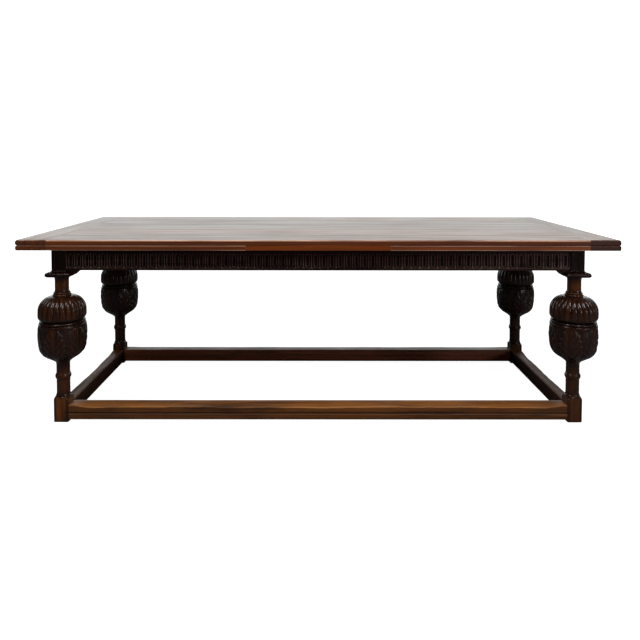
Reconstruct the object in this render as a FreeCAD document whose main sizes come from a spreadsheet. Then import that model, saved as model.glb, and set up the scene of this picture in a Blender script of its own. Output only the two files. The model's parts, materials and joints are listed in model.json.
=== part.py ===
"""A draw-leaf refectory table, as a parametric FreeCAD document in millimetres.

The table stands on the XY plane. Its length runs along X, its front faces -Y and its
origin lies on the floor under the middle of the top.
"""
import FreeCAD, Part
import os
import Sketcher
from types import SimpleNamespace

# Driving sizes in millimetres, kept in the spreadsheet of the document
DRIVING_SIZES = {
    # The table as a whole
    "table_length": 2400,
    "table_width": 964,
    "table_height": 775,
    "slide_gap": 0.3,
    "joint_gap": 0.1,
    "cut_overrun": 5,
    # Top and leaves
    "top_thickness": 22,
    "leaf_thickness": 20,
    "leaf_length": 912,
    "cleat_width": 122,
    "tongue_length": 12,
    "tongue_thickness": 7,
    "tongue_end_gap": 1,
    "tongue_inset": 22,
    "edge_round": 5,
    "edge_ease": 1.5,
    "nose_round": 8.5,
    "filler_width": 40,
    "guide_peg_radius": 12,
    "guide_peg_drop": 70,
    "guide_peg_socket": 12,
    # Lopers under the leaves
    "loper_width": 44,
    "loper_depth": 40,
    "loper_tail_gap": 125.5,
    "loper_inset": 95,
    "loper_end_slope": 24,
    "right_loper_offset": 28.5,
    "left_loper_offset": 88.5,
    "stop_length": 45,
    "stop_depth": 16,
    "loper_peg_radius": 5,
    "loper_peg_grip": 12,
    # Legs
    "end_overhang": 131,
    "side_overhang": 122,
    "post_size": 61,
    "foot_block_height": 105,
    "pommel_height": 14,
    "collar_height": 18,
    "collar_radius": 29.2,
    "stem_radius": 26.7,
    "ring_thickness": 22,
    "ring_radius": 31.4,
    "cup_radius": 95.6,
    "rim_bead_radius": 90,
    "rim_quirk_radius": 86,
    "waist_radius": 75,
    "lip_radius": 88,
    "cover_radius": 94.8,
    "crown_radius": 33.2,
    "neck_radius": 27.8,
    "flare_radius": 31.6,
    "capital_drop": 6.4,
    "capital_thickness": 21,
    "capital_overhang": 21,
    "capital_round": 10,
    "turning_root": 8,
    # Rails and brackets
    "rail_height": 96,
    "rail_thickness": 28,
    "rail_setback": 4,
    "rail_tenon_length": 30,
    "rail_tenon_thickness": 12,
    "rail_tenon_shoulder": 11,
    "mortise_end_gap": 1,
    "bracket_length": 28,
    "bracket_toe": 4,
    "cross_rail_thickness": 36,
    "cross_rail_height": 84,
    "cross_tenon_length": 14,
    "cross_tenon_thickness": 12,
    "bed_peg_radius": 5,
    "bed_peg_grip": 34,
    # Stretchers
    "stretcher_height": 60.5,
    "stretcher_thickness": 57,
    "stretcher_clearance": 11.5,
    "stretcher_tenon_length": 20,
    "stretcher_tenon_thickness": 14,
    "stretcher_tenon_shoulder": 12,
    "moulding_height": 24,
    "quirk_width": 4,
    "quirk_depth": 3.5,
    "face_recess": 2,
    "wear_drop": 10,
    "wear_reach": 42,
    "wear_fade": 80,
    "wear_end_gap": 12,
    # Pegs of the frame joints
    "frame_peg_radius": 4.5,
    "frame_peg_length": 40,
}

# Widths of the boards as shares of the width of the top, from the front
TOP_BOARD_SHARES = (0.153, 0.221, 0.231, 0.2, 0.195)
LEAF_BOARD_SHARES = (0.33, 0.34, 0.33)

# Where a rounded corner passes, as a share of its radius in from the sharp corner
CORNER_SHARE = 0.2929

# Heights on the turned part of a leg, as shares of its length from the foot block to the capital
RING_SHARE = 0.1687
CUP_BASE_SHARE = 0.2869
CUP_RIM_SHARE = 0.6131
RIM_BEAD_SHARES = (0.6181, 0.627, 0.6359)
WAIST_SHARE = 0.6419
COVER_LIP_SHARES = (0.6488, 0.668)
SHOULDER_SHARE = 0.7202
COVER_TOP_SHARE = 0.8373
CONE_TOP_SHARE = 0.8839
NECK_TOP_SHARE = 0.9544

# Cup outline as shares of its height and radius: the end of its slope, then each arc's bend and end
CUP_SLOPE_SHARES = (0.1604, 0.683)
CUP_TURN_SHARES = ((0.2574, 0.857), (0.3851, 0.954))
CUP_BELLY_SHARES = ((0.7, 1.0), (1.0, 0.965))

# Beads on the cone above the cover, as shares of its height and of its spread over the neck
BEAD_SHARES = (((0.23, 1.25), (0.46, 0.75)), ((0.69, 0.8), (0.92, 0.25)))

# Collar on the foot block: the height of its band, then where its hollow passes in radius and height
COLLAR_BAND_SHARE = 0.35
COLLAR_HOLLOW_SHARES = (0.3, 0.6)

# Where the flare under the capital passes, as shares of its spread and height
FLARE_SHARES = (0.3, 0.7)

# Round shoulder of the foot block: its reach in post sizes, then where it passes in radius and height
POMMEL_REACH_SHARE = 0.75
POMMEL_SHARES = (0.65, 0.25)

# Where the hollow of a bracket passes, as shares of its length and rise
BRACKET_SHARES = (0.55, 0.38)

# How far a rail's pegs stand inside the edges of its tenon, as a share of the tenon's shoulder
PEG_INSET_SHARE = 1.5

# Where the pegs stand along the bed between the leaves, as shares of its half length
BED_PEG_SHARE = 0.8
GUIDE_PEG_SHARE = 0.54

# The four sides of the frame with their turns about the middle of the table, in degrees
SIDE_TURNS = {"front": 0, "right": 90, "rear": 180, "left": 270}

# What the two ends of a side are called once it is turned into place
BRACKET_ENDS = {
    "front": {-1: "left", 1: "right"},
    "right": {-1: "front", 1: "rear"},
    "rear": {-1: "right", 1: "left"},
    "left": {-1: "rear", 1: "front"},
}

# How much of the wear of a stretcher is left where it fades out
FADE_SHARE = 0.03

# Where the pegs of a loper stand along the boards of a leaf, from the inner end
LOPER_PEG_SHARES = (0.1, 0.36, 0.62, 0.88)

# The four legs with their turns about their own axes, in degrees
LEG_TURNS = {"front_left": 0, "front_right": 90, "rear_right": 180, "rear_left": 270}


class Size:
    """A length that keeps its value together with the expression that gives it."""

    def __init__(self, value, text):
        self.value = value
        self.text = text

    def __add__(self, other):
        other = as_size(other)
        return Size(self.value + other.value, f"({self.text} + {other.text})")

    def __sub__(self, other):
        other = as_size(other)
        return Size(self.value - other.value, f"({self.text} - {other.text})")

    def __neg__(self):
        return Size(-self.value, f"(0 - {self.text})")

    def __mul__(self, share):
        return Size(self.value * share, f"({self.text} * ({share}))")

    def __truediv__(self, count):
        return Size(self.value / count, f"({self.text} / {count})")


def as_size(value):
    """Lets a plain zero stand where a size is asked for."""
    return value if isinstance(value, Size) else Size(value, str(value))


ZERO = as_size(0)

doc = FreeCAD.newDocument("refectory_table")
nodes = []


def fill_sheet():
    """Writes the driving sizes into the spreadsheet and gives them back by name."""
    sheet = doc.addObject("Spreadsheet::Sheet", "sizes")
    by_name = {}
    for row, (name, value) in enumerate(DRIVING_SIZES.items(), start=1):
        sheet.set(f"A{row}", name)
        sheet.set(f"B{row}", str(value))
        sheet.setAlias(f"B{row}", name)
        by_name[name] = Size(value, f"sizes.{name}")
    doc.recompute()
    return SimpleNamespace(**by_name)


size = fill_sheet()

# Heights that several pieces share
top_underside = size.table_height - size.top_thickness
leaf_top = top_underside - size.slide_gap
leaf_underside = leaf_top - size.leaf_thickness
frame_top = leaf_underside - size.slide_gap
loper_underside = leaf_underside - size.loper_depth
loper_seat = loper_underside - size.slide_gap
rail_bottom = frame_top - size.rail_height
stretcher_top = size.stretcher_clearance + size.stretcher_height
capital_top = rail_bottom - size.capital_drop
capital_base = capital_top - size.capital_thickness

# Places that several pieces share, measured from the middle of the table
half_length = size.table_length / 2
half_width = size.table_width / 2
half_post = size.post_size / 2
bed_half_length = half_length - size.leaf_length
leg_x = half_length - size.end_overhang
leg_y = half_width - size.side_overhang
post_edge = half_post - size.rail_setback
end_rail_inside = leg_x + post_edge - size.rail_thickness
leaf_seam = half_width - size.table_width * LEAF_BOARD_SHARES[-1]
right_loper_out = leaf_seam + size.right_loper_offset
left_loper_out = leaf_seam + size.left_loper_offset
rail_centre_in_post = post_edge - size.rail_thickness / 2
peg_in_rail_tenon = half_post - size.rail_tenon_length / 2
peg_in_stretcher_tenon = half_post - size.stretcher_tenon_length / 2


def bind(thing, name, value):
    """Ties one property of an object to the sheet."""
    thing.setExpression(name, value.text)


def place(thing, corner):
    """Ties the position of an object to the sheet."""
    for axis, value in zip("xyz", corner):
        bind(thing, f"Placement.Base.{axis}", as_size(value))


def keep(thing, label):
    """Marks an object as a finished piece of the table."""
    thing.Label = label
    nodes.append(thing)
    return thing


def new_body(name, turn=0):
    """Starts a body that is turned about the upright axis by so many degrees."""
    body = doc.addObject("PartDesign::Body", name)
    body.Placement.Rotation = FreeCAD.Rotation(FreeCAD.Vector(0, 0, 1), turn)
    return body


def sketch_on(body, role, depth):
    """Attaches a sketch to an origin plane of a body, at a place along its normal."""
    plane = next(part for part in body.Origin.OriginFeatures if part.Role == role)
    sketch = body.newObject("Sketcher::SketchObject", "sketch")
    sketch.AttachmentSupport = [(plane, "")]
    sketch.MapMode = "FlatFace"
    depth = as_size(depth)
    bind(sketch, "AttachmentOffset.Base.z", -depth if role == "XZ_Plane" else depth)
    return sketch


def at(point):
    """The place of a sketch point whose two sizes are given."""
    return FreeCAD.Vector(point[0].value, point[1].value, 0)


def pin_point(geometry, corner, point):
    """Constraints, with their expressions, that hold a point of a sketch in place."""
    held = []
    for kind, axis, value in (("DistanceX", -2, point[0]), ("DistanceY", -1, point[1])):
        if value.value == 0:
            held.append((Sketcher.Constraint("PointOnObject", geometry, corner, axis), None))
        else:
            held.append((Sketcher.Constraint(kind, -1, 1, geometry, corner, value.value), value.text))
    return held


def hold(sketch, held):
    """Adds constraints to a sketch and ties their values to the sheet."""
    first = sketch.ConstraintCount
    sketch.addConstraint([constraint for constraint, _ in held])
    for index, (_, text) in enumerate(held, start=first):
        if text:
            sketch.setExpression(f"Constraints[{index}]", text)


def draw_outline(sketch, start, steps):
    """Draws a closed outline: a step is (end,) for a line or (bend, end) for an arc."""
    held = []
    ends = []
    here = start
    for step in steps:
        end = step[-1]
        if len(step) == 1:
            made = sketch.addGeometry(Part.LineSegment(at(here), at(end)), False)
            ends.append((made, 1, 2))
        else:
            turns_left = (at(step[0]) - at(here)).cross(at(end) - at(here)).z > 0
            first, last = (here, end) if turns_left else (end, here)
            made = sketch.addGeometry(Part.Arc(at(first), at(step[0]), at(last)), False)
            ends.append((made, 1, 2) if turns_left else (made, 2, 1))
            bend = sketch.addGeometry(Part.Point(at(step[0])), True)
            held += pin_point(bend, 1, step[0])
            held.append((Sketcher.Constraint("PointOnObject", bend, 1, made), None))
        held += pin_point(made, ends[-1][1], here)
        here = end
    for (made, _, last), (following, first, _) in zip(ends, ends[1:] + ends[:1]):
        held.append((Sketcher.Constraint("Coincident", made, last, following, first), None))
    hold(sketch, held)


def draw_circle(sketch, centre, radius):
    """Draws a circle whose centre and radius follow the sheet."""
    upright = FreeCAD.Vector(0, 0, 1)
    made = sketch.addGeometry(Part.Circle(at(centre), upright, radius.value), False)
    held = pin_point(made, 3, centre)
    held.append((Sketcher.Constraint("Radius", made, radius.value), radius.text))
    hold(sketch, held)


def rectangle(low, high):
    """The outline of a rectangle between two corners."""
    (left, bottom), (right, top) = low, high
    return (left, bottom), [((right, bottom),), ((right, top),), ((left, top),), ((left, bottom),)]


def extrude(body, kind, sketch, length):
    """Pads or pockets a sketch by equal amounts to both sides of its plane."""
    made = body.newObject(f"PartDesign::{kind}", kind)
    made.Profile = sketch
    made.SideType = "Symmetric"
    bind(made, "Length", length)
    return made


def extrude_outline(body, kind, role, depth, outline, length):
    """Pads or pockets one outline, centred on a plane at a depth of the body."""
    sketch = sketch_on(body, role, depth)
    draw_outline(sketch, *outline)
    return extrude(body, kind, sketch, length)


def drill(body, role, depth, centres, radius, length):
    """Cuts round holes of one size, centred on a plane at a depth of the body."""
    sketch = sketch_on(body, role, depth)
    for centre in centres:
        draw_circle(sketch, centre, radius)
    return extrude(body, "Pocket", sketch, length)


def turn(body, kind, outline):
    """Revolves an outline of radius and height about the upright axis of a body."""
    sketch = sketch_on(body, "XZ_Plane", ZERO)
    draw_outline(sketch, *outline)
    made = body.newObject(f"PartDesign::{kind}", kind)
    made.Profile = sketch
    made.ReferenceAxis = (sketch, ["V_Axis"])
    made.Angle = 360
    return made


def peg(name, foot, direction, radius, length):
    """A round wooden peg that starts at its foot and runs in a direction."""
    made = doc.addObject("Part::Cylinder", name)
    bind(made, "Radius", radius)
    bind(made, "Height", length)
    made.Placement.Rotation = FreeCAD.Rotation(FreeCAD.Vector(0, 0, 1), FreeCAD.Vector(*direction))
    place(made, foot)
    return made


def group(label, pieces):
    """One node for like pieces that stay separate solids."""
    made = doc.addObject("Part::Compound", label)
    made.Links = pieces
    return keep(made, label)


# Legs


def leg_outline():
    """Radius and height along the turned part of a leg, from the foot block to the capital."""
    foot = size.foot_block_height
    stem = size.stem_radius
    neck = size.neck_radius
    rise = capital_base - foot
    collar_spread = size.collar_radius - stem
    crown_spread = size.crown_radius - neck
    flare_spread = size.flare_radius - neck
    shoulder_spread = size.cover_radius - size.crown_radius
    half_ring = size.ring_thickness / 2

    def level(share):
        return foot + rise * share

    def between(low_share, high_share, share):
        return level(low_share) + rise * ((high_share - low_share) * share)

    def on_cup(shares):
        return size.cup_radius * shares[1], between(CUP_BASE_SHARE, CUP_RIM_SHARE, shares[0])

    def on_cone(shares):
        return neck + crown_spread * shares[1], between(COVER_TOP_SHARE, CONE_TOP_SHARE, shares[0])

    bead_base, bead_middle, bead_top = (level(share) for share in RIM_BEAD_SHARES)
    lip_base, lip_top = (level(share) for share in COVER_LIP_SHARES)
    lip_spread = size.cover_radius - size.lip_radius
    lip_bend = lip_base + (lip_top - lip_base) * CORNER_SHARE
    shoulder_rise = level(COVER_TOP_SHARE) - level(SHOULDER_SHARE)
    steps = [
        ((stem, foot - size.turning_root),),
        ((stem, foot),),
        ((size.collar_radius, foot),),
        ((size.collar_radius, foot + size.collar_height * COLLAR_BAND_SHARE),),
        ((stem + collar_spread * COLLAR_HOLLOW_SHARES[0],
          foot + size.collar_height * COLLAR_HOLLOW_SHARES[1]),
         (stem, foot + size.collar_height)),
        ((stem, level(RING_SHARE) - half_ring),),
        ((size.ring_radius, level(RING_SHARE)), (stem, level(RING_SHARE) + half_ring)),
        ((stem, level(CUP_BASE_SHARE)),),
        (on_cup(CUP_SLOPE_SHARES),),
        (on_cup(CUP_TURN_SHARES[0]), on_cup(CUP_TURN_SHARES[1])),
        (on_cup(CUP_BELLY_SHARES[0]), on_cup(CUP_BELLY_SHARES[1])),
        ((size.rim_quirk_radius, level(CUP_RIM_SHARE)),),
        ((size.rim_quirk_radius, bead_base),),
        ((size.rim_bead_radius, bead_middle), (size.rim_quirk_radius, bead_top)),
        ((size.waist_radius, bead_top),),
        ((size.waist_radius, level(WAIST_SHARE)),),
        ((size.lip_radius, lip_base),),
        ((size.cover_radius - lip_spread * CORNER_SHARE, lip_bend), (size.cover_radius, lip_top)),
        ((size.cover_radius, level(SHOULDER_SHARE)),),
        ((size.cover_radius - shoulder_spread * CORNER_SHARE,
          level(COVER_TOP_SHARE) - shoulder_rise * CORNER_SHARE),
         (size.crown_radius, level(COVER_TOP_SHARE))),
        (on_cone(BEAD_SHARES[0][0]), on_cone(BEAD_SHARES[0][1])),
        (on_cone(BEAD_SHARES[1][0]), on_cone(BEAD_SHARES[1][1])),
        ((neck, level(CONE_TOP_SHARE)),),
        ((neck, level(NECK_TOP_SHARE)),),
        ((neck + flare_spread * FLARE_SHARES[0], between(NECK_TOP_SHARE, 1, FLARE_SHARES[1])),
         (size.flare_radius, capital_base)),
        ((size.flare_radius, capital_base + size.turning_root),),
        ((ZERO, capital_base + size.turning_root),),
        ((ZERO, foot - size.turning_root),),
    ]
    return (ZERO, foot - size.turning_root), steps


def square_block(body, half_side, base, top):
    """Pads a square block about the axis of a leg between two heights."""
    outline = rectangle((-half_side, base), (half_side, top))
    return extrude_outline(body, "Pad", "XZ_Plane", ZERO, outline, half_side * 2)


def round_capital(body, block):
    """Gives the capital its round nose on all four sides."""
    doc.recompute()
    nose = body.newObject("PartDesign::Fillet", "nose")
    level = [f"Edge{index}" for index, edge in enumerate(block.Shape.Edges, start=1)
             if abs(edge.Vertexes[0].Z - edge.Vertexes[-1].Z) < 1e-6]
    nose.Base = (block, level)
    bind(nose, "Radius", size.capital_round)
    doc.recompute()


def cut_leg_mortises(body):
    """Cuts the sockets of the two rails and the two stretchers that meet in a leg."""
    joints = (
        (-rail_centre_in_post, size.rail_tenon_thickness, size.rail_tenon_length,
         rail_bottom + size.rail_tenon_shoulder, frame_top - size.rail_tenon_shoulder),
        (ZERO, size.stretcher_tenon_thickness, size.stretcher_tenon_length,
         size.stretcher_clearance + size.stretcher_tenon_shoulder,
         stretcher_top - size.stretcher_tenon_shoulder),
    )
    for depth, thickness, length, base, top in joints:
        outline = rectangle((half_post - length - size.mortise_end_gap, base - size.joint_gap),
                            (half_post + size.cut_overrun, top + size.joint_gap))
        for role in ("XZ_Plane", "YZ_Plane"):
            extrude_outline(body, "Pocket", role, depth, outline, thickness + size.joint_gap * 2)


def frame_peg_places():
    """Reach into the leg and height of the pegs through each rail and stretcher tenon."""
    tenon_base = rail_bottom + size.rail_tenon_shoulder
    tenon_top = frame_top - size.rail_tenon_shoulder
    inset = size.rail_tenon_shoulder * PEG_INSET_SHARE
    stretcher_middle = size.stretcher_clearance + size.stretcher_height / 2
    rail = ((peg_in_rail_tenon, tenon_base + inset), (peg_in_rail_tenon, tenon_top - inset))
    return rail, ((peg_in_stretcher_tenon, stretcher_middle),)


def drill_leg(body):
    """Drills the peg holes of a leg from its two outer faces."""
    rail, stretcher = frame_peg_places()
    depth = -half_post + size.frame_peg_length / 2
    for role in ("XZ_Plane", "YZ_Plane"):
        drill(body, role, depth, rail + stretcher, size.frame_peg_radius + size.joint_gap,
              size.frame_peg_length)


def leg_signs(name):
    """Which way a leg stands from the middle of the table, along X and along Y."""
    return (-1 if name.endswith("left") else 1), (-1 if name.startswith("front") else 1)


def make_leg(name):
    """A leg: capital, head block, foot block and turned bulb, with its mortises."""
    body = new_body(f"leg_{name}", LEG_TURNS[name])
    capital = square_block(body, half_post + size.capital_overhang, capital_base, capital_top)
    round_capital(body, capital)
    square_block(body, half_post, capital_base + size.capital_round, frame_top)
    turn(body, "Revolution", leg_outline())
    square_block(body, half_post, ZERO, size.foot_block_height)
    reach = size.post_size * POMMEL_REACH_SHARE
    foot = size.foot_block_height
    spare = reach - size.collar_radius
    shoulder = [((reach, foot),), ((reach, foot - size.pommel_height),),
                ((size.collar_radius + spare * POMMEL_SHARES[0],
                  foot - size.pommel_height * POMMEL_SHARES[1]),
                 (size.collar_radius, foot))]
    turn(body, "Groove", ((size.collar_radius, foot), shoulder))
    cut_leg_mortises(body)
    drill_leg(body)
    along, across = leg_signs(name)
    place(body, (leg_x * along, leg_y * across, ZERO))
    keep(body, f"leg_{name}")


# Rails, brackets and stretchers, each drawn as the front one and turned to its side


def side_reach(side):
    """Half the clear length between the legs of a side, and how far out the leg axes lie."""
    along, out = (leg_x, leg_y) if side in ("front", "rear") else (leg_y, leg_x)
    return along - half_post, out


def add_tenons(body, depth, half_clear, thickness, length, base, top):
    """Pads the tenons at both ends of a rail or stretcher as one bar through it."""
    outline = rectangle((depth - thickness / 2, base), (depth + thickness / 2, top))
    extrude_outline(body, "Pad", "YZ_Plane", ZERO, outline, (half_clear + length) * 2)


def make_rail(side, loper_out=None):
    """A frieze rail with tenons; end rails have open notches that the lopers run in."""
    half_clear, out = side_reach(side)
    body = new_body(f"{side}_rail", SIDE_TURNS[side])
    face = -(out + post_edge)
    outline = rectangle((face, rail_bottom), (face + size.rail_thickness, frame_top))
    extrude_outline(body, "Pad", "YZ_Plane", ZERO, outline, half_clear * 2)
    add_tenons(body, face + size.rail_thickness / 2, half_clear, size.rail_tenon_thickness,
               size.rail_tenon_length, rail_bottom + size.rail_tenon_shoulder,
               frame_top - size.rail_tenon_shoulder)
    middle = face + size.rail_thickness / 2
    if loper_out:
        for centre in (-loper_out, loper_out):
            cut_loper_notch(body, "XZ_Plane", middle, centre, size.rail_thickness * 2)
    else:
        cut_cross_rail_socket(body, face + size.rail_thickness)
        drill_bed_pegs(body, middle)
    rail, _ = frame_peg_places()
    for end in (-1, 1):
        centres = [((half_clear + half_post - reach) * end, height) for reach, height in rail]
        drill(body, "XZ_Plane", middle, centres, size.frame_peg_radius + size.joint_gap,
              size.rail_thickness)
    keep(body, f"{side}_rail")


def cut_loper_notch(body, role, depth, centre, length):
    """Cuts an open notch with a level seat for one loper."""
    half_notch = size.loper_width / 2 + size.slide_gap
    outline = rectangle((centre - half_notch, loper_seat),
                        (centre + half_notch, frame_top + size.cut_overrun))
    extrude_outline(body, "Pocket", role, depth, outline, length)


def cut_cross_rail_socket(body, inner_face):
    """Cuts the mortise of the middle cross rail into the inside of a long rail."""
    half_thick = size.cross_tenon_thickness / 2 + size.joint_gap
    depth = size.cross_tenon_length + size.mortise_end_gap
    base, top = cross_tenon_heights()
    outline = rectangle((-half_thick, base - size.joint_gap), (half_thick, top + size.joint_gap))
    extrude_outline(body, "Pocket", "XZ_Plane", inner_face - depth / 2, outline, depth)


def cross_tenon_heights():
    """Lowest and highest level of the tenons of the middle cross rail."""
    base = frame_top - size.cross_rail_height + size.rail_tenon_shoulder
    return base, loper_seat - size.rail_tenon_shoulder


def drill_bed_pegs(body, middle):
    """Drills a long rail from above for the pegs of the bed board."""
    reach = bed_half_length * BED_PEG_SHARE
    drill(body, "XY_Plane", frame_top - size.bed_peg_grip / 2, ((-reach, middle), (reach, middle)),
          size.bed_peg_radius + size.joint_gap, size.bed_peg_grip)


def make_bracket(side, end):
    """A bracket in the angle between a rail and a capital, shaped to pass over its nose."""
    half_clear, out = side_reach(side)
    nose = size.capital_overhang + size.slide_gap
    seat = capital_top + size.slide_gap

    def inward(distance):
        return (half_clear - distance) * end

    toe = capital_base + size.bracket_toe
    far = nose + size.bracket_length
    rise = rail_bottom - toe
    steps = [
        ((inward(ZERO), seat),),
        ((inward(nose), seat),),
        ((inward(nose), toe),),
        ((inward(nose + size.bracket_length * BRACKET_SHARES[0]), toe + rise * BRACKET_SHARES[1]),
         (inward(far), rail_bottom)),
        ((inward(ZERO), rail_bottom),),
    ]
    body = new_body(f"{side}_bracket", SIDE_TURNS[side])
    middle = -(out + rail_centre_in_post)
    extrude_outline(body, "Pad", "XZ_Plane", middle, ((inward(ZERO), rail_bottom), steps),
                    size.rail_thickness)
    keep(body, f"{side}_bracket_{BRACKET_ENDS[side][end]}")


def stretcher_outline(out):
    """Section of a stretcher: plain inside, moulded outside over a quirk and a proud foot."""
    inner = size.stretcher_thickness / 2 - out
    outer = -size.stretcher_thickness / 2 - out
    base = size.stretcher_clearance
    quirk_base = base + size.moulding_height
    quirk_top = quirk_base + size.quirk_width
    face = outer + size.face_recess
    steps = [
        ((inner, stretcher_top),),
        ((face, stretcher_top),),
        ((face, quirk_top),),
        ((outer + size.quirk_depth, quirk_top),),
        ((outer + size.quirk_depth, quirk_base),),
        ((outer + size.face_recess * CORNER_SHARE, quirk_base - size.face_recess * CORNER_SHARE),
         (outer, quirk_base - size.face_recess)),
        ((outer, base),),
        ((inner, base),),
    ]
    return (inner, base), steps


def cut_wear(body, half_clear, face):
    """Cuts the slope that feet have worn into the outer top edge; it fades out near the legs."""
    reach = half_clear - size.wear_end_gap
    deep = reach - size.wear_fade
    outside = face - size.cut_overrun
    crest = (outside, stretcher_top + size.cut_overrun)
    sections = []
    for along, share in ((-reach, FADE_SHARE), (-deep, 1), (deep, 1), (reach, FADE_SHARE)):
        sketch = sketch_on(body, "YZ_Plane", along)
        steps = [((outside, stretcher_top - size.wear_drop * share),),
                 ((face + size.wear_reach * share, stretcher_top),), (crest,)]
        draw_outline(sketch, crest, steps)
        sections.append(sketch)
    worn = body.newObject("PartDesign::SubtractiveLoft", "wear")
    worn.Profile = sections[0]
    worn.Sections = sections[1:]
    worn.Ruled = True


def make_stretcher(side):
    """A stretcher with tenons, a moulded outer face and a worn top edge."""
    half_clear, out = side_reach(side)
    body = new_body(f"{side}_stretcher", SIDE_TURNS[side])
    extrude_outline(body, "Pad", "YZ_Plane", ZERO, stretcher_outline(out), half_clear * 2)
    add_tenons(body, -out, half_clear, size.stretcher_tenon_thickness, size.stretcher_tenon_length,
               size.stretcher_clearance + size.stretcher_tenon_shoulder,
               stretcher_top - size.stretcher_tenon_shoulder)
    cut_wear(body, half_clear, size.face_recess - size.stretcher_thickness / 2 - out)
    _, stretcher = frame_peg_places()
    for end in (-1, 1):
        centres = [((half_clear + half_post - reach) * end, height) for reach, height in stretcher]
        drill(body, "XZ_Plane", -out, centres, size.frame_peg_radius + size.joint_gap,
              size.stretcher_thickness)
    keep(body, f"{side}_stretcher")


# Bed of the frame


def make_cross_rail():
    """The rail across the middle, with one open notch for each loper."""
    half_clear = leg_y + post_edge - size.rail_thickness
    body = new_body("middle_cross_rail")
    half_thick = size.cross_rail_thickness / 2
    outline = rectangle((-half_thick, frame_top - size.cross_rail_height), (half_thick, frame_top))
    extrude_outline(body, "Pad", "XZ_Plane", ZERO, outline, half_clear * 2)
    base, top = cross_tenon_heights()
    half_tenon = size.cross_tenon_thickness / 2
    extrude_outline(body, "Pad", "XZ_Plane", ZERO, rectangle((-half_tenon, base), (half_tenon, top)),
                    (half_clear + size.cross_tenon_length) * 2)
    for out in (left_loper_out, right_loper_out):
        for centre in (-out, out):
            cut_loper_notch(body, "YZ_Plane", ZERO, centre, size.cross_rail_thickness * 2)
    keep(body, "middle_cross_rail")


def bed_peg_places():
    """Where the pegs of the bed board stand on the long rails."""
    reach = bed_half_length * BED_PEG_SHARE
    out = leg_y + rail_centre_in_post
    return [(reach * along, out * across) for along in (-1, 1) for across in (-1, 1)]


def guide_peg_places():
    """Where the guide pegs of the loose top stand."""
    return [(bed_half_length * (GUIDE_PEG_SHARE * along), ZERO) for along in (-1, 1)]


def make_bed_board():
    """The fixed board between the leaves, with holes for its own pegs and the guide pegs."""
    body = new_body("bed_board")
    reach = bed_half_length - size.slide_gap
    half_wide = half_width - size.filler_width - size.slide_gap
    thickness = top_underside - frame_top
    outline = rectangle((-reach, -half_wide), (reach, half_wide))
    middle = frame_top + thickness / 2
    extrude_outline(body, "Pad", "XY_Plane", middle, outline, thickness)
    drill(body, "XY_Plane", middle, bed_peg_places(), size.bed_peg_radius + size.joint_gap, thickness * 2)
    drill(body, "XY_Plane", middle, guide_peg_places(), size.guide_peg_radius + size.slide_gap, thickness * 2)
    keep(body, "bed_board")
    length = thickness + size.bed_peg_grip
    group("bed_board_pegs", [
        peg("bed_peg", (along, across, frame_top - size.bed_peg_grip), (0, 0, 1), size.bed_peg_radius, length)
        for along, across in bed_peg_places()])


def make_frame_pegs():
    """The pegs that hold the rails and the stretchers in the legs."""
    rail, stretcher = frame_peg_places()
    for label, places in (("rail_pegs", rail), ("stretcher_pegs", stretcher)):
        pegs = []
        for along, across in map(leg_signs, LEG_TURNS):
            for reach, height in places:
                feet = (((leg_x - reach) * along, (leg_y + half_post) * across, height),
                        ((leg_x + half_post) * along, (leg_y - reach) * across, height))
                ways = ((0, -across, 0), (-along, 0, 0))
                pegs += [peg("frame_peg", foot, way, size.frame_peg_radius, size.frame_peg_length)
                         for foot, way in zip(feet, ways)]
        group(label, pegs)


# Top and leaves


def corner_waste(corner, radius, out):
    """The outline of what is cut away to round a corner; out tells which way it points."""
    (across, height), (side, up) = corner, out
    inward, lower = across - radius * side, height - radius * up
    beyond, above = across + size.cut_overrun * side, height + size.cut_overrun * up
    bend = (across - radius * (CORNER_SHARE * side), height - radius * (CORNER_SHARE * up))
    steps = [(bend, (inward, height)), ((inward, above),), ((beyond, above),), ((beyond, lower),),
             ((across, lower),)]
    return (across, lower), steps


def round_edge(body, depth, length, side, levels, rounds):
    """Rounds the lower and upper arris along the front or rear edge of a piece."""
    sketch = sketch_on(body, "YZ_Plane", depth)
    for height, radius, up in zip(levels, rounds, (-1, 1)):
        draw_outline(sketch, *corner_waste((half_width * side, height), radius, (side, up)))
    extrude(body, "Pocket", sketch, length)


def make_boards(prefix, span, tongues, levels, shares, rounds):
    """Boards side by side from the front, with tongues where they meet a cleat."""
    (low, high), (base, top) = span, levels
    middle = (low + high) / 2
    tongue_low = low - size.tongue_length * tongues[0]
    tongue_high = high + size.tongue_length * tongues[1]
    tongue_base = (base + top) / 2 - size.tongue_thickness / 2
    tongue_top = tongue_base + size.tongue_thickness
    edge = -half_width
    boards = []
    for number, share in enumerate(shares, start=1):
        following = edge + size.table_width * share
        body = new_body(f"{prefix}_board")
        section = rectangle((edge, base), (following, top))
        extrude_outline(body, "Pad", "YZ_Plane", middle, section, high - low)
        near = edge + size.tongue_inset if number == 1 else edge
        far = following - size.tongue_inset if number == len(shares) else following
        extrude_outline(body, "Pad", "YZ_Plane", (tongue_low + tongue_high) / 2,
                        rectangle((near, tongue_base), (far, tongue_top)), tongue_high - tongue_low)
        if number == 1:
            round_edge(body, middle, high - low, -1, levels, rounds)
        if number == len(shares):
            round_edge(body, middle, high - low, 1, levels, rounds)
        boards.append(keep(body, f"{prefix}_board_{number}"))
        edge = following
    return boards


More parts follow.
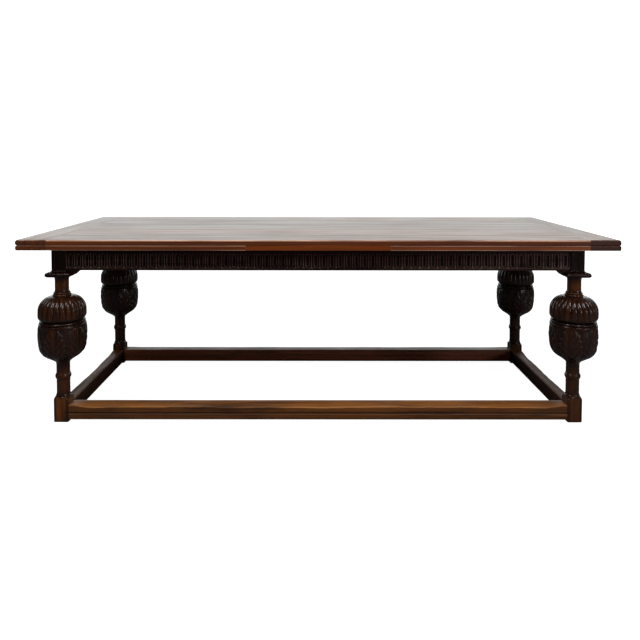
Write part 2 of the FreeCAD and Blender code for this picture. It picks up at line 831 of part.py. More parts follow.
def make_cleat(label, side, levels, rounds):
    """An end cleat: round outer nose, and a stopped groove for the tongues of the boards."""
    base, top = levels
    outer = half_length * side
    inner = (half_length - size.cleat_width) * side
    nose = size.nose_round
    tangent = (half_length - nose) * side
    bend = (half_length - nose * CORNER_SHARE) * side
    steps = [
        ((tangent, base),),
        ((bend, base + nose * CORNER_SHARE), (outer, base + nose)),
        ((outer, top - nose),),
        ((bend, top - nose * CORNER_SHARE), (tangent, top)),
        ((inner, top),),
        ((inner, base),),
    ]
    body = new_body(label)
    extrude_outline(body, "Pad", "XZ_Plane", ZERO, ((inner, base), steps), size.table_width)
    half_groove = size.tongue_thickness / 2 + size.joint_gap
    middle = (base + top) / 2
    depth = size.tongue_length + size.tongue_end_gap
    mouth = (half_length - size.cleat_width - size.cut_overrun) * side
    bottom = (half_length - size.cleat_width + depth) * side
    low, high = (mouth, bottom) if side > 0 else (bottom, mouth)
    extrude_outline(body, "Pocket", "XZ_Plane", ZERO,
                    rectangle((low, middle - half_groove), (high, middle + half_groove)),
                    (half_width - size.tongue_inset + size.joint_gap) * 2)
    for edge in (-1, 1):
        round_edge(body, (inner + outer) / 2, size.cleat_width + size.cut_overrun * 2, edge, levels, rounds)
    keep(body, label)


def make_top():
    """The loose top: five boards between two cleats, edge fillers and guide pegs."""
    levels = (top_underside, size.table_height)
    rounds = (size.edge_ease, size.edge_round)
    reach = half_length - size.cleat_width
    boards = make_boards("top", (-reach, reach), (1, 1), levels, TOP_BOARD_SHARES, rounds)
    drill(boards[2], "XY_Plane", top_underside + size.guide_peg_socket / 2, guide_peg_places(),
          size.guide_peg_radius + size.joint_gap, size.guide_peg_socket)
    for label, side in (("left", -1), ("right", 1)):
        make_cleat(f"top_cleat_{label}", side, levels, rounds)
    for label, side in (("front", -1), ("rear", 1)):
        make_filler(label, side)
    for label, (along, across) in zip(("left", "right"), guide_peg_places()):
        foot = (along, across, top_underside - size.guide_peg_drop)
        pin = peg("guide_peg", foot, (0, 0, 1), size.guide_peg_radius,
                  size.guide_peg_drop + size.guide_peg_socket)
        keep(pin, f"guide_peg_{label}")


def make_filler(label, side):
    """The strip under the edge of the top that fills the space between the leaves."""
    body = new_body(f"{label}_edge_filler")
    outer = half_width * side
    inner = (half_width - size.filler_width) * side
    low, high = (inner, outer) if side > 0 else (outer, inner)
    length = (bed_half_length - size.slide_gap) * 2
    section = rectangle((low, leaf_underside), (high, top_underside))
    extrude_outline(body, "Pad", "YZ_Plane", ZERO, section, length)
    sketch = sketch_on(body, "YZ_Plane", ZERO)
    draw_outline(sketch, *corner_waste((outer, leaf_underside), size.edge_round, (side, -1)))
    extrude(body, "Pocket", sketch, length)
    keep(body, f"{label}_edge_filler")


def make_loper(label, side, across, peg_places):
    """A loper that carries a leaf: its tail steps down to pass under the bed board."""
    tail = (size.loper_tail_gap - end_rail_inside) * side
    step = bed_half_length * side
    end = (half_length - size.loper_inset) * side
    slope = (half_length - size.loper_inset - size.loper_end_slope) * side
    tail_top = frame_top - size.slide_gap
    steps = [
        ((slope, loper_underside),),
        ((end, leaf_underside - size.loper_end_slope / 2),),
        ((end, leaf_underside),),
        ((step, leaf_underside),),
        ((step, tail_top),),
        ((tail, tail_top),),
        ((tail, loper_underside),),
    ]
    body = new_body(label)
    extrude_outline(body, "Pad", "XZ_Plane", across, ((tail, loper_underside), steps), size.loper_width)
    drill(body, "XY_Plane", loper_underside + size.loper_depth / 2,
          [(along, across) for along in peg_places], size.loper_peg_radius + size.joint_gap,
          size.loper_depth * 2)
    keep(body, label)


def make_leaf(name, side, loper_out):
    """A draw leaf: three boards, an end cleat, two lopers with stops, and pegs."""
    levels = (leaf_underside, leaf_top)
    rounds = (size.edge_round, size.edge_ease)
    far = half_length - size.cleat_width
    span = (bed_half_length, far) if side > 0 else (-far, -bed_half_length)
    tongues = (0, 1) if side > 0 else (1, 0)
    boards = make_boards(f"{name}_leaf", span, tongues, levels, LEAF_BOARD_SHARES, rounds)
    make_cleat(f"{name}_leaf_cleat", side, levels, rounds)
    peg_places = [(bed_half_length + (far - bed_half_length) * share) * side for share in LOPER_PEG_SHARES]
    stops = []
    pegs = []
    for board, label, edge in ((boards[0], "front", -1), (boards[-1], "rear", 1)):
        across = loper_out * edge
        drill(board, "XY_Plane", leaf_underside + size.loper_peg_grip / 2,
              [(along, across) for along in peg_places], size.loper_peg_radius + size.joint_gap,
              size.loper_peg_grip)
        make_loper(f"{name}_loper_{label}", side, across, peg_places)
        pegs += [peg("loper_peg", (along, across, loper_underside), (0, 0, 1), size.loper_peg_radius,
                     size.loper_depth + size.loper_peg_grip) for along in peg_places]
        stops.append(make_stop(side, across))
    group(f"{name}_loper_stops", stops)
    group(f"{name}_loper_pegs", pegs)


def make_stop(side, across):
    """A block under a loper that meets the inside of the end rail at full draw."""
    outer = end_rail_inside - size.leaf_length - size.slide_gap
    low = outer - size.stop_length if side > 0 else -outer
    block = doc.addObject("Part::Box", "stop")
    bind(block, "Length", size.stop_length)
    bind(block, "Width", size.loper_width)
    bind(block, "Height", size.stop_depth)
    place(block, (low, across - size.loper_width / 2, loper_underside - size.stop_depth))
    return block


def write_pieces():
    """Checks every object of the document and writes one file for each finished piece."""
    doc.recompute()
    for thing in doc.Objects:
        if "Invalid" in thing.State or "Error" in thing.State:
            raise RuntimeError(f"{thing.Label} of {thing.getParentGeoFeatureGroup()}: {thing.State}")
    os.makedirs("parts", exist_ok=True)
    for thing in nodes:
        if thing.Shape.isNull() or not thing.Shape.isValid():
            raise RuntimeError(f"{thing.Label} has no valid shape")
        thing.Shape.exportStep(f"parts/{thing.Label}.step")


for leg_name in LEG_TURNS:
    make_leg(leg_name)
make_rail("front")
make_rail("rear")
make_rail("left", left_loper_out)
make_rail("right", right_loper_out)
for side_name in SIDE_TURNS:
    make_stretcher(side_name)
    for end_sign in (-1, 1):
        make_bracket(side_name, end_sign)
make_cross_rail()
make_bed_board()
make_frame_pegs()
make_top()
make_leaf("left", -1, left_loper_out)
make_leaf("right", 1, right_loper_out)
write_pieces()
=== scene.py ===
"""Looks of a draw-leaf refectory table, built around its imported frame.

The frame keeps the construction. This script turns and carves the legs, flutes the frieze,
shapes the worn boards and stretchers, and gives every piece an old oak finish.
"""
from __future__ import annotations

import json
import logging
import math
from dataclasses import dataclass, replace
from enum import Enum

import bpy
import numpy as np
from mathutils import Matrix, Vector

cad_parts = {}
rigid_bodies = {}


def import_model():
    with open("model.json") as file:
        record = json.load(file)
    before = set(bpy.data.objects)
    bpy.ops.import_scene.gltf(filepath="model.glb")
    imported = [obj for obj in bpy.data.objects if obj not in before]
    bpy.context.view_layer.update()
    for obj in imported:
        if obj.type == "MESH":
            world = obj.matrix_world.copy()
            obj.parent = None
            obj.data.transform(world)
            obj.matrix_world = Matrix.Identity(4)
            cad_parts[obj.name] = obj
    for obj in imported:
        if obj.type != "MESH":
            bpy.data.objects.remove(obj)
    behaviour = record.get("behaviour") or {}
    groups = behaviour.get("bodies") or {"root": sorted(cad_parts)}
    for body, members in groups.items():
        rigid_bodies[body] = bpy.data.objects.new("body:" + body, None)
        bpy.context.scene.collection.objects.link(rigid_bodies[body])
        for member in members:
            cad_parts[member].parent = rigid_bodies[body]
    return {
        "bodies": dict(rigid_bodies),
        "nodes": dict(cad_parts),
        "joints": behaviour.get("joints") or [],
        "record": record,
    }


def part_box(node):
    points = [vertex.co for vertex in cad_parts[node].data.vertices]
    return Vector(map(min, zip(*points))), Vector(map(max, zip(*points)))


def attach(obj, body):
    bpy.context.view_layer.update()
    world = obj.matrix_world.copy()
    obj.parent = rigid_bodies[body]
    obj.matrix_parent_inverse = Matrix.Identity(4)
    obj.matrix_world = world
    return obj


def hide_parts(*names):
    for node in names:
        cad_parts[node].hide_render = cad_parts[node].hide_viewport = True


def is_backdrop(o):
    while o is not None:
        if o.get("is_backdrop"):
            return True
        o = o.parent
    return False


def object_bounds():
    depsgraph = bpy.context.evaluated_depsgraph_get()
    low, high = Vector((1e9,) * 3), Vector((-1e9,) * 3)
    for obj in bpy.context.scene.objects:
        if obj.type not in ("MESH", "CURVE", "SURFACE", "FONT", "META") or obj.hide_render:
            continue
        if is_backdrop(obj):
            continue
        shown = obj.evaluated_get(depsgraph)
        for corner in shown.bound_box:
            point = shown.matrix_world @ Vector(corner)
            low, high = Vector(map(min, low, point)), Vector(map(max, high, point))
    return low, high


LOG = logging.getLogger("refectory_table")

Colour = tuple[float, float, float]
Spot = tuple[float, float, float]
Place = tuple[float, float]
Array = np.ndarray
Piece = bpy.types.Object
Socket = bpy.types.NodeSocket

MM = 0.001
FULL_TURN = 2 * math.pi

# Attributes that carry wear with painted highlights, and dirt with painted shade, from the modelled relief
# into the finishes
WEAR_AND_HIGHLIGHT = "worn"
SOIL_AND_SHADE = "dirt_and_painted_shade"

# Faces that meet at less than this angle are shaded as one smooth surface
SMOOTH_ANGLE = math.radians(32)

# Points closer than this are merged, in any piece and where a turned piece closes on itself
MERGE_GAP = 0.002 * MM
TURNED_GAP = 0.004 * MM

# How far a point may lie off a face or an arris and still belong to it
FACE_SLACK = 0.1 * MM
ARRIS_SLACK = 0.01 * MM

# The most cuts that one subdivision makes
MOST_CUTS = 100

# Waves in an irregular line, and the turn that the phase of each is a share of
WAVES = 5
PHASE_TURN = 6.283


class GrainAxis(Enum):
    """Which way the grain of a piece runs, as the turn that lays it along X."""

    ALONG = (0.0, 0.0, 0.0)
    ACROSS = (0.0, 0.0, math.pi / 2)
    UPRIGHT = (0.0, math.pi / 2, 0.0)


class Side(Enum):
    """The four sides of the frame, with their turn about the middle of the table in degrees."""

    FRONT = 0
    RIGHT = 90
    REAR = 180
    LEFT = 270

    def is_long(self) -> bool:
        """Tells whether it is the front or the rear."""
        return self in (Side.FRONT, Side.REAR)

    def turn(self) -> Matrix:
        """Turns a piece from the front to this side."""
        return Matrix.Rotation(math.radians(self.value), 4, "Z")


class Axis(Enum):
    """The way that a bar is drawn out."""

    X = 0
    Y = 1


def srgb(red: int, green: int, blue: int) -> Colour:
    """Turns a colour as seen on a screen into linear light.

    Args:
        red: Red from 0 to 255.
        green: Green from 0 to 255.
        blue: Blue from 0 to 255.

    Returns:
        The colour in linear light.
    """
    shares = (level / 255 for level in (red, green, blue))
    return tuple(share / 12.92 if share <= 0.04045 else ((share + 0.055) / 1.055) ** 2.4 for share in shares)


@dataclass(frozen=True)
class Pattern:
    """A noise drawn out along the grain, with its repeats in a metre."""

    along: float
    across: float
    detail: float
    rough: float = 0.55


FIGURE = Pattern(along=0.9, across=62.0, detail=6.0, rough=0.62)
FIBRES = Pattern(along=7.0, across=420.0, detail=3.0)
PORES = Pattern(along=20.0, across=900.0, detail=2.0)
CLOUDS = Pattern(along=1.6, across=8.0, detail=4.0)
STAINS = Pattern(along=6.0, across=22.0, detail=5.0)

# Levels of the patterns between which each tone comes in
FIGURE_RANGE = (0.28, 0.72)
PATCH_RANGE = (0.46, 0.7)
STAIN_RANGE = (0.48, 0.75)
PORE_RANGE = (0.56, 0.74)
DULL_RANGE = (0.3, 0.7)

# Wear spares the stains and the soft bands of the figure
CLEAN_RANGE = (0.85, 0.3)
HARD_RANGE = (0.15, 0.55)

# How strongly each tone comes in, how dark soot and painted shade are, and how far dirt and painted shade
# dull the wax
STAIN_SHARE = 0.4
FIBRE_SHARE = 0.4
PORE_SHARE = 0.5
DIRT_AND_SHADE_SHARE = 0.85
SOOT_AND_SHADE_SHARE = 0.2
DIRT_ROUGHNESS = 0.3

# What each pattern gives to the fine relief, and its depth
FIGURE_RELIEF = 0.5
FIBRE_RELIEF = 0.3
PORE_RELIEF = 0.7
RELIEF_DEPTH = 0.8 * MM

# The noise that bends the grain, and how far a seed moves all patterns
WARP_SCALE = 1.6
WARP_DETAIL = 2.0
SEED_STEPS = (1.7, 0.9, 1.3)

# Sockets of a mix node that carry colours
MIX_INPUTS = (6, 7)
MIX_OUTPUT = 2


class Graph:
    """A material's node tree with short calls to add and join nodes."""

    def __init__(self, name: str) -> None:
        """Starts an empty material.

        Args:
            name: Name of the material.
        """
        self.material = bpy.data.materials.new(name)
        self.material.use_nodes = True
        self.tree = self.material.node_tree
        self.tree.nodes.clear()

    def add(self, kind: str, settings: dict | None = None, **inputs: object) -> bpy.types.Node:
        """Adds a node and sets or joins its inputs.

        Args:
            kind: The node's type without its ShaderNode prefix.
            settings: Properties of the node itself.
            **inputs: Input names, with _ for a space, and a value or a socket for each.

        Returns:
            The new node.
        """
        node = self.tree.nodes.new(f"ShaderNode{kind}")
        for key, value in (settings or {}).items():
            setattr(node, key, value)
        for key, value in inputs.items():
            self.feed(node.inputs[key.replace("_", " ")], value)
        return node

    def feed(self, socket: Socket, value: object) -> None:
        """Sets a socket to a value, or joins it to another socket.

        Args:
            socket: The socket.
            value: The value or the other socket.
        """
        if isinstance(value, Socket):
            self.tree.links.new(value, socket)
        else:
            socket.default_value = value

    def maths(self, operation: str, *values: object, kind: str = "Math") -> Socket:
        """Works out one sum.

        Args:
            operation: The sum.
            *values: What goes into it, as values or sockets.
            kind: The node's type.

        Returns:
            The socket of the result.
        """
        node = self.add(kind, {"operation": operation})
        for socket, value in zip(node.inputs, values):
            self.feed(socket, value)
        return node.outputs[0]

    def times(self, first: object, second: object) -> Socket:
        """Multiplies two numbers."""
        return self.maths("MULTIPLY", first, second)

    def mix(self, factor: object, first: object, second: object, blend: str = "MIX") -> Socket:
        """Mixes two colours.

        Args:
            factor: How much of the second colour shows.
            first: The lower colour or its socket.
            second: The upper colour or its socket.
            blend: The blend mode.

        Returns:
            The socket of the mixed colour.
        """
        node = self.add("Mix", {"data_type": "RGBA", "blend_type": blend}, Factor=factor)
        for index, value in zip(MIX_INPUTS, (first, second)):
            self.feed(node.inputs[index], (*value, 1.0) if isinstance(value, tuple) else value)
        return node.outputs[MIX_OUTPUT]

    def spread(self, value: object, levels: Place) -> Socket:
        """Stretches what lies between two levels to the full range, clamped."""
        ends = {"From_Min": levels[0], "From_Max": levels[1]}
        return self.add("MapRange", {"interpolation_type": "SMOOTHSTEP"}, Value=value, **ends).outputs[0]

    def draw(self, pattern: Pattern, place: Socket, length: float, fineness: float = 1.0) -> Socket:
        """Adds a pattern.

        Args:
            pattern: The pattern.
            place: The place, with the grain along X.
            length: How far the pattern is drawn out along the grain.
            fineness: How fine it is across the grain.

        Returns:
            The socket of its level.
        """
        across = pattern.across * fineness
        scale = (pattern.along / length, across, across)
        spot = self.add("Mapping", None, Vector=place, Scale=scale).outputs[0]
        noise = self.add("TexNoise", None, Vector=spot, Scale=1.0, Detail=pattern.detail,
                         Roughness=pattern.rough)
        return noise.outputs["Fac"]

    def shade(self, **inputs: object) -> bpy.types.Material:
        """Ends the tree in one shader.

        Args:
            **inputs: The shader's inputs, named as for a node.

        Returns:
            The material.
        """
        shader = self.add("BsdfPrincipled", None, **inputs)
        self.add("OutputMaterial", None, Surface=shader.outputs[0])
        return self.material


@dataclass(frozen=True)
class OakFinish:
    """An old waxed oak surface: growth figure, fibres, pores, patches, wear with painted highlights, and dirt
    with painted shade.
    """

    name: str
    dark: Colour
    light: Colour
    warm: Colour
    worn: Colour
    grain: GrainAxis
    patches: float = 0.4
    gloss: float = 0.3
    dulling: float = 0.14
    specular: float = 0.25
    relief: float = 0.25
    wander: float = 0.04
    length: float = 1.0
    fineness: float = 1.0
    seed: float = 0.0

    def material(self) -> bpy.types.Material:
        """Builds the finish as a procedural material.

        Returns:
            The new material.
        """
        graph = Graph(self.name)
        place = graph.add("TexCoord").outputs["Object"]
        moved = tuple(self.seed * step for step in SEED_STEPS)
        turned = graph.add("Mapping", None, Vector=place, Rotation=self.grain.value,
                           Location=moved).outputs[0]
        warp = graph.add("TexNoise", None, Vector=turned, Scale=WARP_SCALE,
                         Detail=WARP_DETAIL).outputs["Color"]
        bend = (0.0, self.wander, self.wander)
        flowing = graph.maths("MULTIPLY_ADD", warp, bend, turned, kind="VectorMath")
        figure = graph.draw(FIGURE, flowing, self.length, self.fineness)
        fibres = graph.draw(FIBRES, flowing, self.length)
        pores = graph.spread(graph.draw(PORES, flowing, self.length), PORE_RANGE)
        clouds = graph.draw(CLOUDS, turned, math.sqrt(self.length))
        stains = graph.draw(STAINS, turned, math.sqrt(self.length))
        worn = graph.add("Attribute", {"attribute_name": WEAR_AND_HIGHLIGHT}).outputs["Fac"]
        dirt_and_painted_shade = graph.add("Attribute", {"attribute_name": SOIL_AND_SHADE}).outputs["Fac"]
        soot_and_shade_tone = tuple(level * SOOT_AND_SHADE_SHARE for level in self.dark)

        colour = graph.mix(graph.spread(figure, FIGURE_RANGE), self.dark, self.light)
        colour = graph.mix(graph.times(graph.spread(clouds, PATCH_RANGE), self.patches), colour, self.warm)
        colour = graph.mix(graph.times(graph.spread(stains, STAIN_RANGE), STAIN_SHARE), colour, self.dark)
        colour = graph.mix(graph.times(fibres, FIBRE_SHARE), colour, self.dark, "MULTIPLY")
        # Wear and painted highlights lighten towards the worn colour
        rubbed = graph.times(worn, graph.spread(stains, CLEAN_RANGE))
        rubbed = graph.times(rubbed, graph.spread(figure, HARD_RANGE))
        colour = graph.mix(rubbed, colour, self.worn)
        colour = graph.mix(graph.times(pores, PORE_SHARE), colour, soot_and_shade_tone)
        # Dirt and painted shade darken towards soot
        colour = graph.mix(graph.times(dirt_and_painted_shade, DIRT_AND_SHADE_SHARE), colour, soot_and_shade_tone)

        waxed = self.gloss - self.dulling / 2
        rough = graph.maths("MULTIPLY_ADD", graph.spread(stains, DULL_RANGE), self.dulling, waxed)
        rough = graph.maths("ADD", rough, graph.times(dirt_and_painted_shade, DIRT_ROUGHNESS))
        rough = graph.maths("ADD", rough, graph.times(pores, self.dulling))
        height = graph.maths("ADD", graph.times(figure, FIGURE_RELIEF), graph.times(fibres, FIBRE_RELIEF))
        height = graph.maths("SUBTRACT", height, graph.times(pores, PORE_RELIEF))
        bump = graph.add("Bump", None, Strength=self.relief, Distance=RELIEF_DEPTH, Height=height)
        return graph.shade(Base_Color=colour, Roughness=rough, Normal=bump.outputs[0],
                           Specular_IOR_Level=self.specular)

    def toned(self, level: float, **changes: object) -> OakFinish:
        """Makes a like finish that is lighter or darker overall, with other fields changed."""
        tones = {key: tuple(share * level for share in getattr(self, key))
                 for key in ("dark", "light", "warm")}
        return replace(self, **tones, **changes)


# The top's pale cream worn colour paints wear together with a painted reflection on the round arrises
TOP_OAK = OakFinish("top_oak", dark=srgb(72, 33, 17), light=srgb(106, 57, 31), warm=srgb(118, 57, 20),
                    worn=srgb(206, 168, 146), grain=GrainAxis.ALONG, patches=0.5, gloss=0.31, dulling=0.07,
                    specular=0.2, relief=0.02, wander=0.014, length=5.0, fineness=1.5)
EDGE_OAK = replace(TOP_OAK, name="edge_oak", dark=srgb(78, 32, 10), light=srgb(116, 56, 19),
                   warm=srgb(124, 58, 15))
LEG_OAK = OakFinish("leg_oak", dark=srgb(18, 8, 5), light=srgb(42, 20, 11), warm=srgb(70, 33, 11),
                    worn=srgb(108, 58, 14), grain=GrainAxis.UPRIGHT, patches=0.22, gloss=0.23, specular=0.19)
DARK_LEG_OAK = replace(LEG_OAK, name="dark_leg_oak", worn=srgb(80, 42, 17), seed=2.0)
PEG_OAK = replace(LEG_OAK, name="peg_oak", grain=GrainAxis.ACROSS)
# The rails' grey worn colour paints wear with highlights on flute arrises, darts and bosses, and painted
# light on the lower band
RAIL_OAK = OakFinish("rail_oak", dark=srgb(24, 7, 6), light=srgb(54, 17, 13), warm=srgb(68, 21, 14),
                     worn=srgb(150, 126, 116), grain=GrainAxis.ALONG, patches=0.3, gloss=0.36, specular=0.1)
END_RAIL_OAK = replace(RAIL_OAK, name="end_rail_oak", grain=GrainAxis.ACROSS)
STRETCHER_OAK = OakFinish("stretcher_oak", dark=srgb(33, 16, 7), light=srgb(90, 50, 24),
                          warm=srgb(104, 58, 22), worn=srgb(138, 88, 40), grain=GrainAxis.ALONG, gloss=0.42,
                          specular=0.14, length=2.0, fineness=2.2)
FAR_STRETCHER_OAK = replace(STRETCHER_OAK, name="far_stretcher_oak", dark=srgb(40, 19, 12),
                            light=srgb(90, 45, 29), warm=srgb(78, 39, 21), worn=srgb(112, 72, 48))
# The rear stretcher is a lit copy of the far finish, 2.4 times lighter: painted light where it stands in
# shade
REAR_STRETCHER_LIT_OAK = FAR_STRETCHER_OAK.toned(2.4, name="rear_stretcher_painted_light_oak")
END_STRETCHER_OAK = replace(FAR_STRETCHER_OAK, name="end_stretcher_oak", grain=GrainAxis.ACROSS,
                            specular=0.04, gloss=0.5)
INNER_OAK = OakFinish("inner_oak", dark=srgb(72, 50, 36), light=srgb(112, 82, 58), warm=srgb(120, 82, 50),
                      worn=srgb(150, 120, 90), grain=GrainAxis.ALONG, patches=0.3, gloss=0.55, specular=0.3)


def clear_selection() -> None:
    """Deselects everything, so that an operator acts on new pieces alone."""
    bpy.ops.object.select_all(action="DESELECT")


def select_alone(piece: Piece) -> None:
    """Selects one piece and makes it the active one.

    Args:
        piece: The piece.
    """
    clear_selection()
    piece.select_set(True)
    bpy.context.view_layer.objects.active = piece


def edit_all() -> None:
    """Opens the active piece for editing with all of it selected."""
    bpy.ops.object.mode_set(mode="EDIT")
    bpy.ops.mesh.select_all(action="SELECT")


def points_of(piece: Piece) -> Array:
    """Reads the places of a piece's points.

    Args:
        piece: The piece.

    Returns:
        The places, one row for each point.
    """
    flat = np.empty(len(piece.data.vertices) * 3, np.float32)
    piece.data.vertices.foreach_get("co", flat)
    return flat.reshape(-1, 3).astype(float)


def move_points(piece: Piece, points: Array) -> None:
    """Moves every point of a piece to its new place."""
    piece.data.vertices.foreach_set("co", points.astype(np.float32).ravel())
    piece.data.update()


def mark(piece: Piece, key: str, values: Array) -> None:
    """Writes a level from zero to one on each point, for the finish to read."""
    layer = piece.data.attributes.new(key, "FLOAT", "POINT")
    layer.data.foreach_set("value", np.clip(values, 0.0, 1.0).astype(np.float32))


def ring(name: str, places: Array, fill: str) -> Piece:
    """Adds a ring of points and moves it to an outline.

    Args:
        name: Name of the piece.
        places: The outline, one row for each point.
        fill: How the ring is filled.

    Returns:
        The ring, selected and at the origin.
    """
    clear_selection()
    bpy.ops.mesh.primitive_circle_add(vertices=len(places), radius=1.0, fill_type=fill)
    piece = bpy.context.active_object
    piece.name = name
    piece.data.name = name
    move_points(piece, places)
    return piece


def bar(name: str, outline: Array, axis: Axis, stations: Array) -> Piece:
    """Extrudes an outline to a bar and divides it along its length.

    Args:
        name: Name of the piece.
        outline: The outline as points across and up.
        axis: The way that the bar runs.
        stations: Where it is divided, with its two ends.

    Returns:
        The bar.
    """
    way = axis.value
    places = np.empty((len(outline), 3))
    places[:, way] = stations[0]
    places[:, 1 - way] = outline[:, 0]
    places[:, 2] = outline[:, 1]
    piece = ring(name, places, "NGON")
    reach = Vector((0.0, 0.0, 0.0))
    reach[way] = stations[-1] - stations[0]
    edit_all()
    bpy.ops.mesh.extrude_region_move(TRANSFORM_OT_translate={"value": reach})
    bpy.ops.object.mode_set(mode="OBJECT")
    left = len(stations) - 1
    while left > 1:
        count = next(step for step in range(min(left, MOST_CUTS), 0, -1) if left % step == 0)
        divide(piece, way, count)
        left //= count
    points = points_of(piece)
    share = (points[:, way] - stations[0]) / (stations[-1] - stations[0])
    points[:, way] = stations[np.rint(share * (len(stations) - 1)).astype(int)]
    move_points(piece, points)
    return piece


def divide(piece: Piece, way: int, count: int) -> None:
    """Cuts each lengthwise edge of a bar into equal lengths.

    Args:
        piece: The bar.
        way: The axis that it runs along.
        count: How many lengths.
    """
    mesh = piece.data
    points = points_of(piece)
    ends = np.empty(len(mesh.edges) * 2, np.int32)
    mesh.edges.foreach_get("vertices", ends)
    first, last = ends.reshape(-1, 2).T
    bpy.context.tool_settings.mesh_select_mode = (False, True, False)
    mesh.vertices.foreach_set("select", np.zeros(len(mesh.vertices), bool))
    mesh.polygons.foreach_set("select", np.zeros(len(mesh.polygons), bool))
    mesh.edges.foreach_set("select", np.abs(points[first, way] - points[last, way]) > MERGE_GAP)
    bpy.ops.object.mode_set(mode="EDIT")
    bpy.ops.mesh.subdivide(number_cuts=count - 1)
    bpy.ops.object.mode_set(mode="OBJECT")


def lathe(name: str, profile: Array, centre: Vector, steps: int) -> Piece:
    """Turns a profile about an upright axis.

    Args:
        name: Name of the piece.
        profile: Radius and height of each point, from the axis to the axis.
        centre: A place on the axis.
        steps: How many faces go round.

    Returns:
        The turned piece.
    """
    places = np.empty((len(profile), 3))
    places[:, 0] = centre.x + profile[:, 0]
    places[:, 1] = centre.y
    places[:, 2] = profile[:, 1]
    piece = ring(name, places, "NOTHING")
    edit_all()
    bpy.ops.mesh.spin(steps=steps, angle=FULL_TURN, center=centre, axis=(0.0, 0.0, 1.0))
    bpy.ops.mesh.select_all(action="SELECT")
    bpy.ops.mesh.remove_doubles(threshold=TURNED_GAP)
    bpy.ops.mesh.delete_loose(use_verts=True, use_edges=True, use_faces=False)
    bpy.ops.object.mode_set(mode="OBJECT")
    return piece


def close(piece: Piece) -> Piece:
    """Merges double points, turns the faces outwards and smooths all but the sharp arrises.

    Args:
        piece: The piece.

    Returns:
        The same piece.
    """
    select_alone(piece)
    edit_all()
    bpy.ops.mesh.remove_doubles(threshold=MERGE_GAP)
    bpy.ops.mesh.normals_make_consistent(inside=False)
    bpy.ops.object.mode_set(mode="OBJECT")
    bpy.ops.object.shade_smooth_by_angle(angle=SMOOTH_ANGLE)
    return piece


def work(piece: Piece, points: Array, worn: Array, dirt_and_painted_shade: Array) -> Piece:
    """Moves the points of a plain piece to their worked places, and notes wear with painted highlights, and
    dirt with painted shade.

    Args:
        piece: The piece.
        points: The new places.
        worn: Wear and painted highlights on each point.
        dirt_and_painted_shade: Dirt and painted shade on each point.

    Returns:
        The same piece, closed.
    """
    move_points(piece, points)
    mark(piece, WEAR_AND_HIGHLIGHT, worn)
    mark(piece, SOIL_AND_SHADE, dirt_and_painted_shade)
    return close(piece)


def notch(piece: Piece, low: Vector, high: Vector) -> None:
    """Cuts a square notch out of a piece.

    Args:
        piece: The piece.
        low: Lowest corner of the notch.
        high: Highest corner of the notch.
    """
    clear_selection()
    bpy.ops.mesh.primitive_cube_add(size=1.0, location=(low + high) / 2, scale=high - low)
    cutter = bpy.context.active_object
    select_alone(piece)
    cut = piece.modifiers.new("notch", "BOOLEAN")
    cut.operation = "DIFFERENCE"
    cut.solver = "EXACT"
    cut.object = cutter
    bpy.ops.object.modifier_apply(modifier=cut.name)
    bpy.data.objects.remove(cutter)


def turned_copy(source: Piece, name: str, turn: Matrix) -> Piece:
    """Copies a piece with a mesh of its own and turns the mesh.

    Args:
        source: The piece to copy.
        name: Name of the copy.
        turn: How the mesh is moved.

    Returns:
        The copy, at the origin.
    """
    piece = source.copy()
    piece.data = source.data.copy()
    piece.name = name
    piece.data.name = name
    piece.data.transform(turn)
    bpy.context.scene.collection.objects.link(piece)
    return piece


def middle_of(node: str) -> Vector:
    """Finds the middle of a node's box, on the floor."""
    low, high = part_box(node)
    return Vector(((low.x + high.x) / 2, (low.y + high.y) / 2, 0.0))


def arc(start: Place, bend: Place, end: Place, count: int) -> list[Place]:
    """Points on the arc through three places, without the first.

    Args:
        start: Where the arc starts.
        bend: A place that it passes.
        end: Where it ends.
        count: How many points.

    Returns:
        The points.
    """
    a, b, c = (complex(*place) for place in (start, bend, end))
    ratio = (c - a) / (b - a)
    centre = (b - a) * (ratio - abs(ratio) ** 2) / (2j * ratio.imag) + a
    full = np.angle((c - centre) / (a - centre))
    half = np.angle((b - centre) / (a - centre))
    if (half > 0) != (full > 0) or abs(half) > abs(full):
        full -= math.copysign(FULL_TURN, full)
    places = [centre + (a - centre) * np.exp(1j * full * step / count) for step in range(1, count + 1)]
    return [(place.real, place.imag) for place in places]


def rounded_section(low: Place, high: Place, radii: tuple[float, float, float, float], steps: int = 4,
                    guard: float = 2.5 * MM) -> Array:
    """Outline of a bar with rounded arrises, counter-clockwise from the lower left.

    Args:
        low: Lower left corner.
        high: Upper right corner.
        radii: Radius of the lower left, lower right, upper right and upper left arris.
        steps: Points on each arris.
        guard: How far beyond each arris two further points keep its wear to itself.

    Returns:
        The outline as an array of points.
    """
    (left, bottom), (right, top) = low, high
    corners = ((left, bottom, 1, 1), (right, bottom, -1, 1), (right, top, -1, -1), (left, top, 1, -1))
    outline = []
    for index, ((across, up, inward, upward), radius) in enumerate(zip(corners, radii)):
        start = math.pi * (1 + index / 2)
        turns = [start + math.pi / 2 * step / steps for step in range(steps + 1)]
        arris = [np.array((across + radius * (inward + math.cos(turn)),
                           up + radius * (upward + math.sin(turn)))) for turn in turns]
        before, after = (np.array((-math.sin(turn), math.cos(turn))) * guard for turn in (start, turns[-1]))
        outline += [arris[0] - before, arris[0] - before / 2, *arris]
        outline += [arris[-1] + after / 2, arris[-1] + after]
    return np.array(outline)


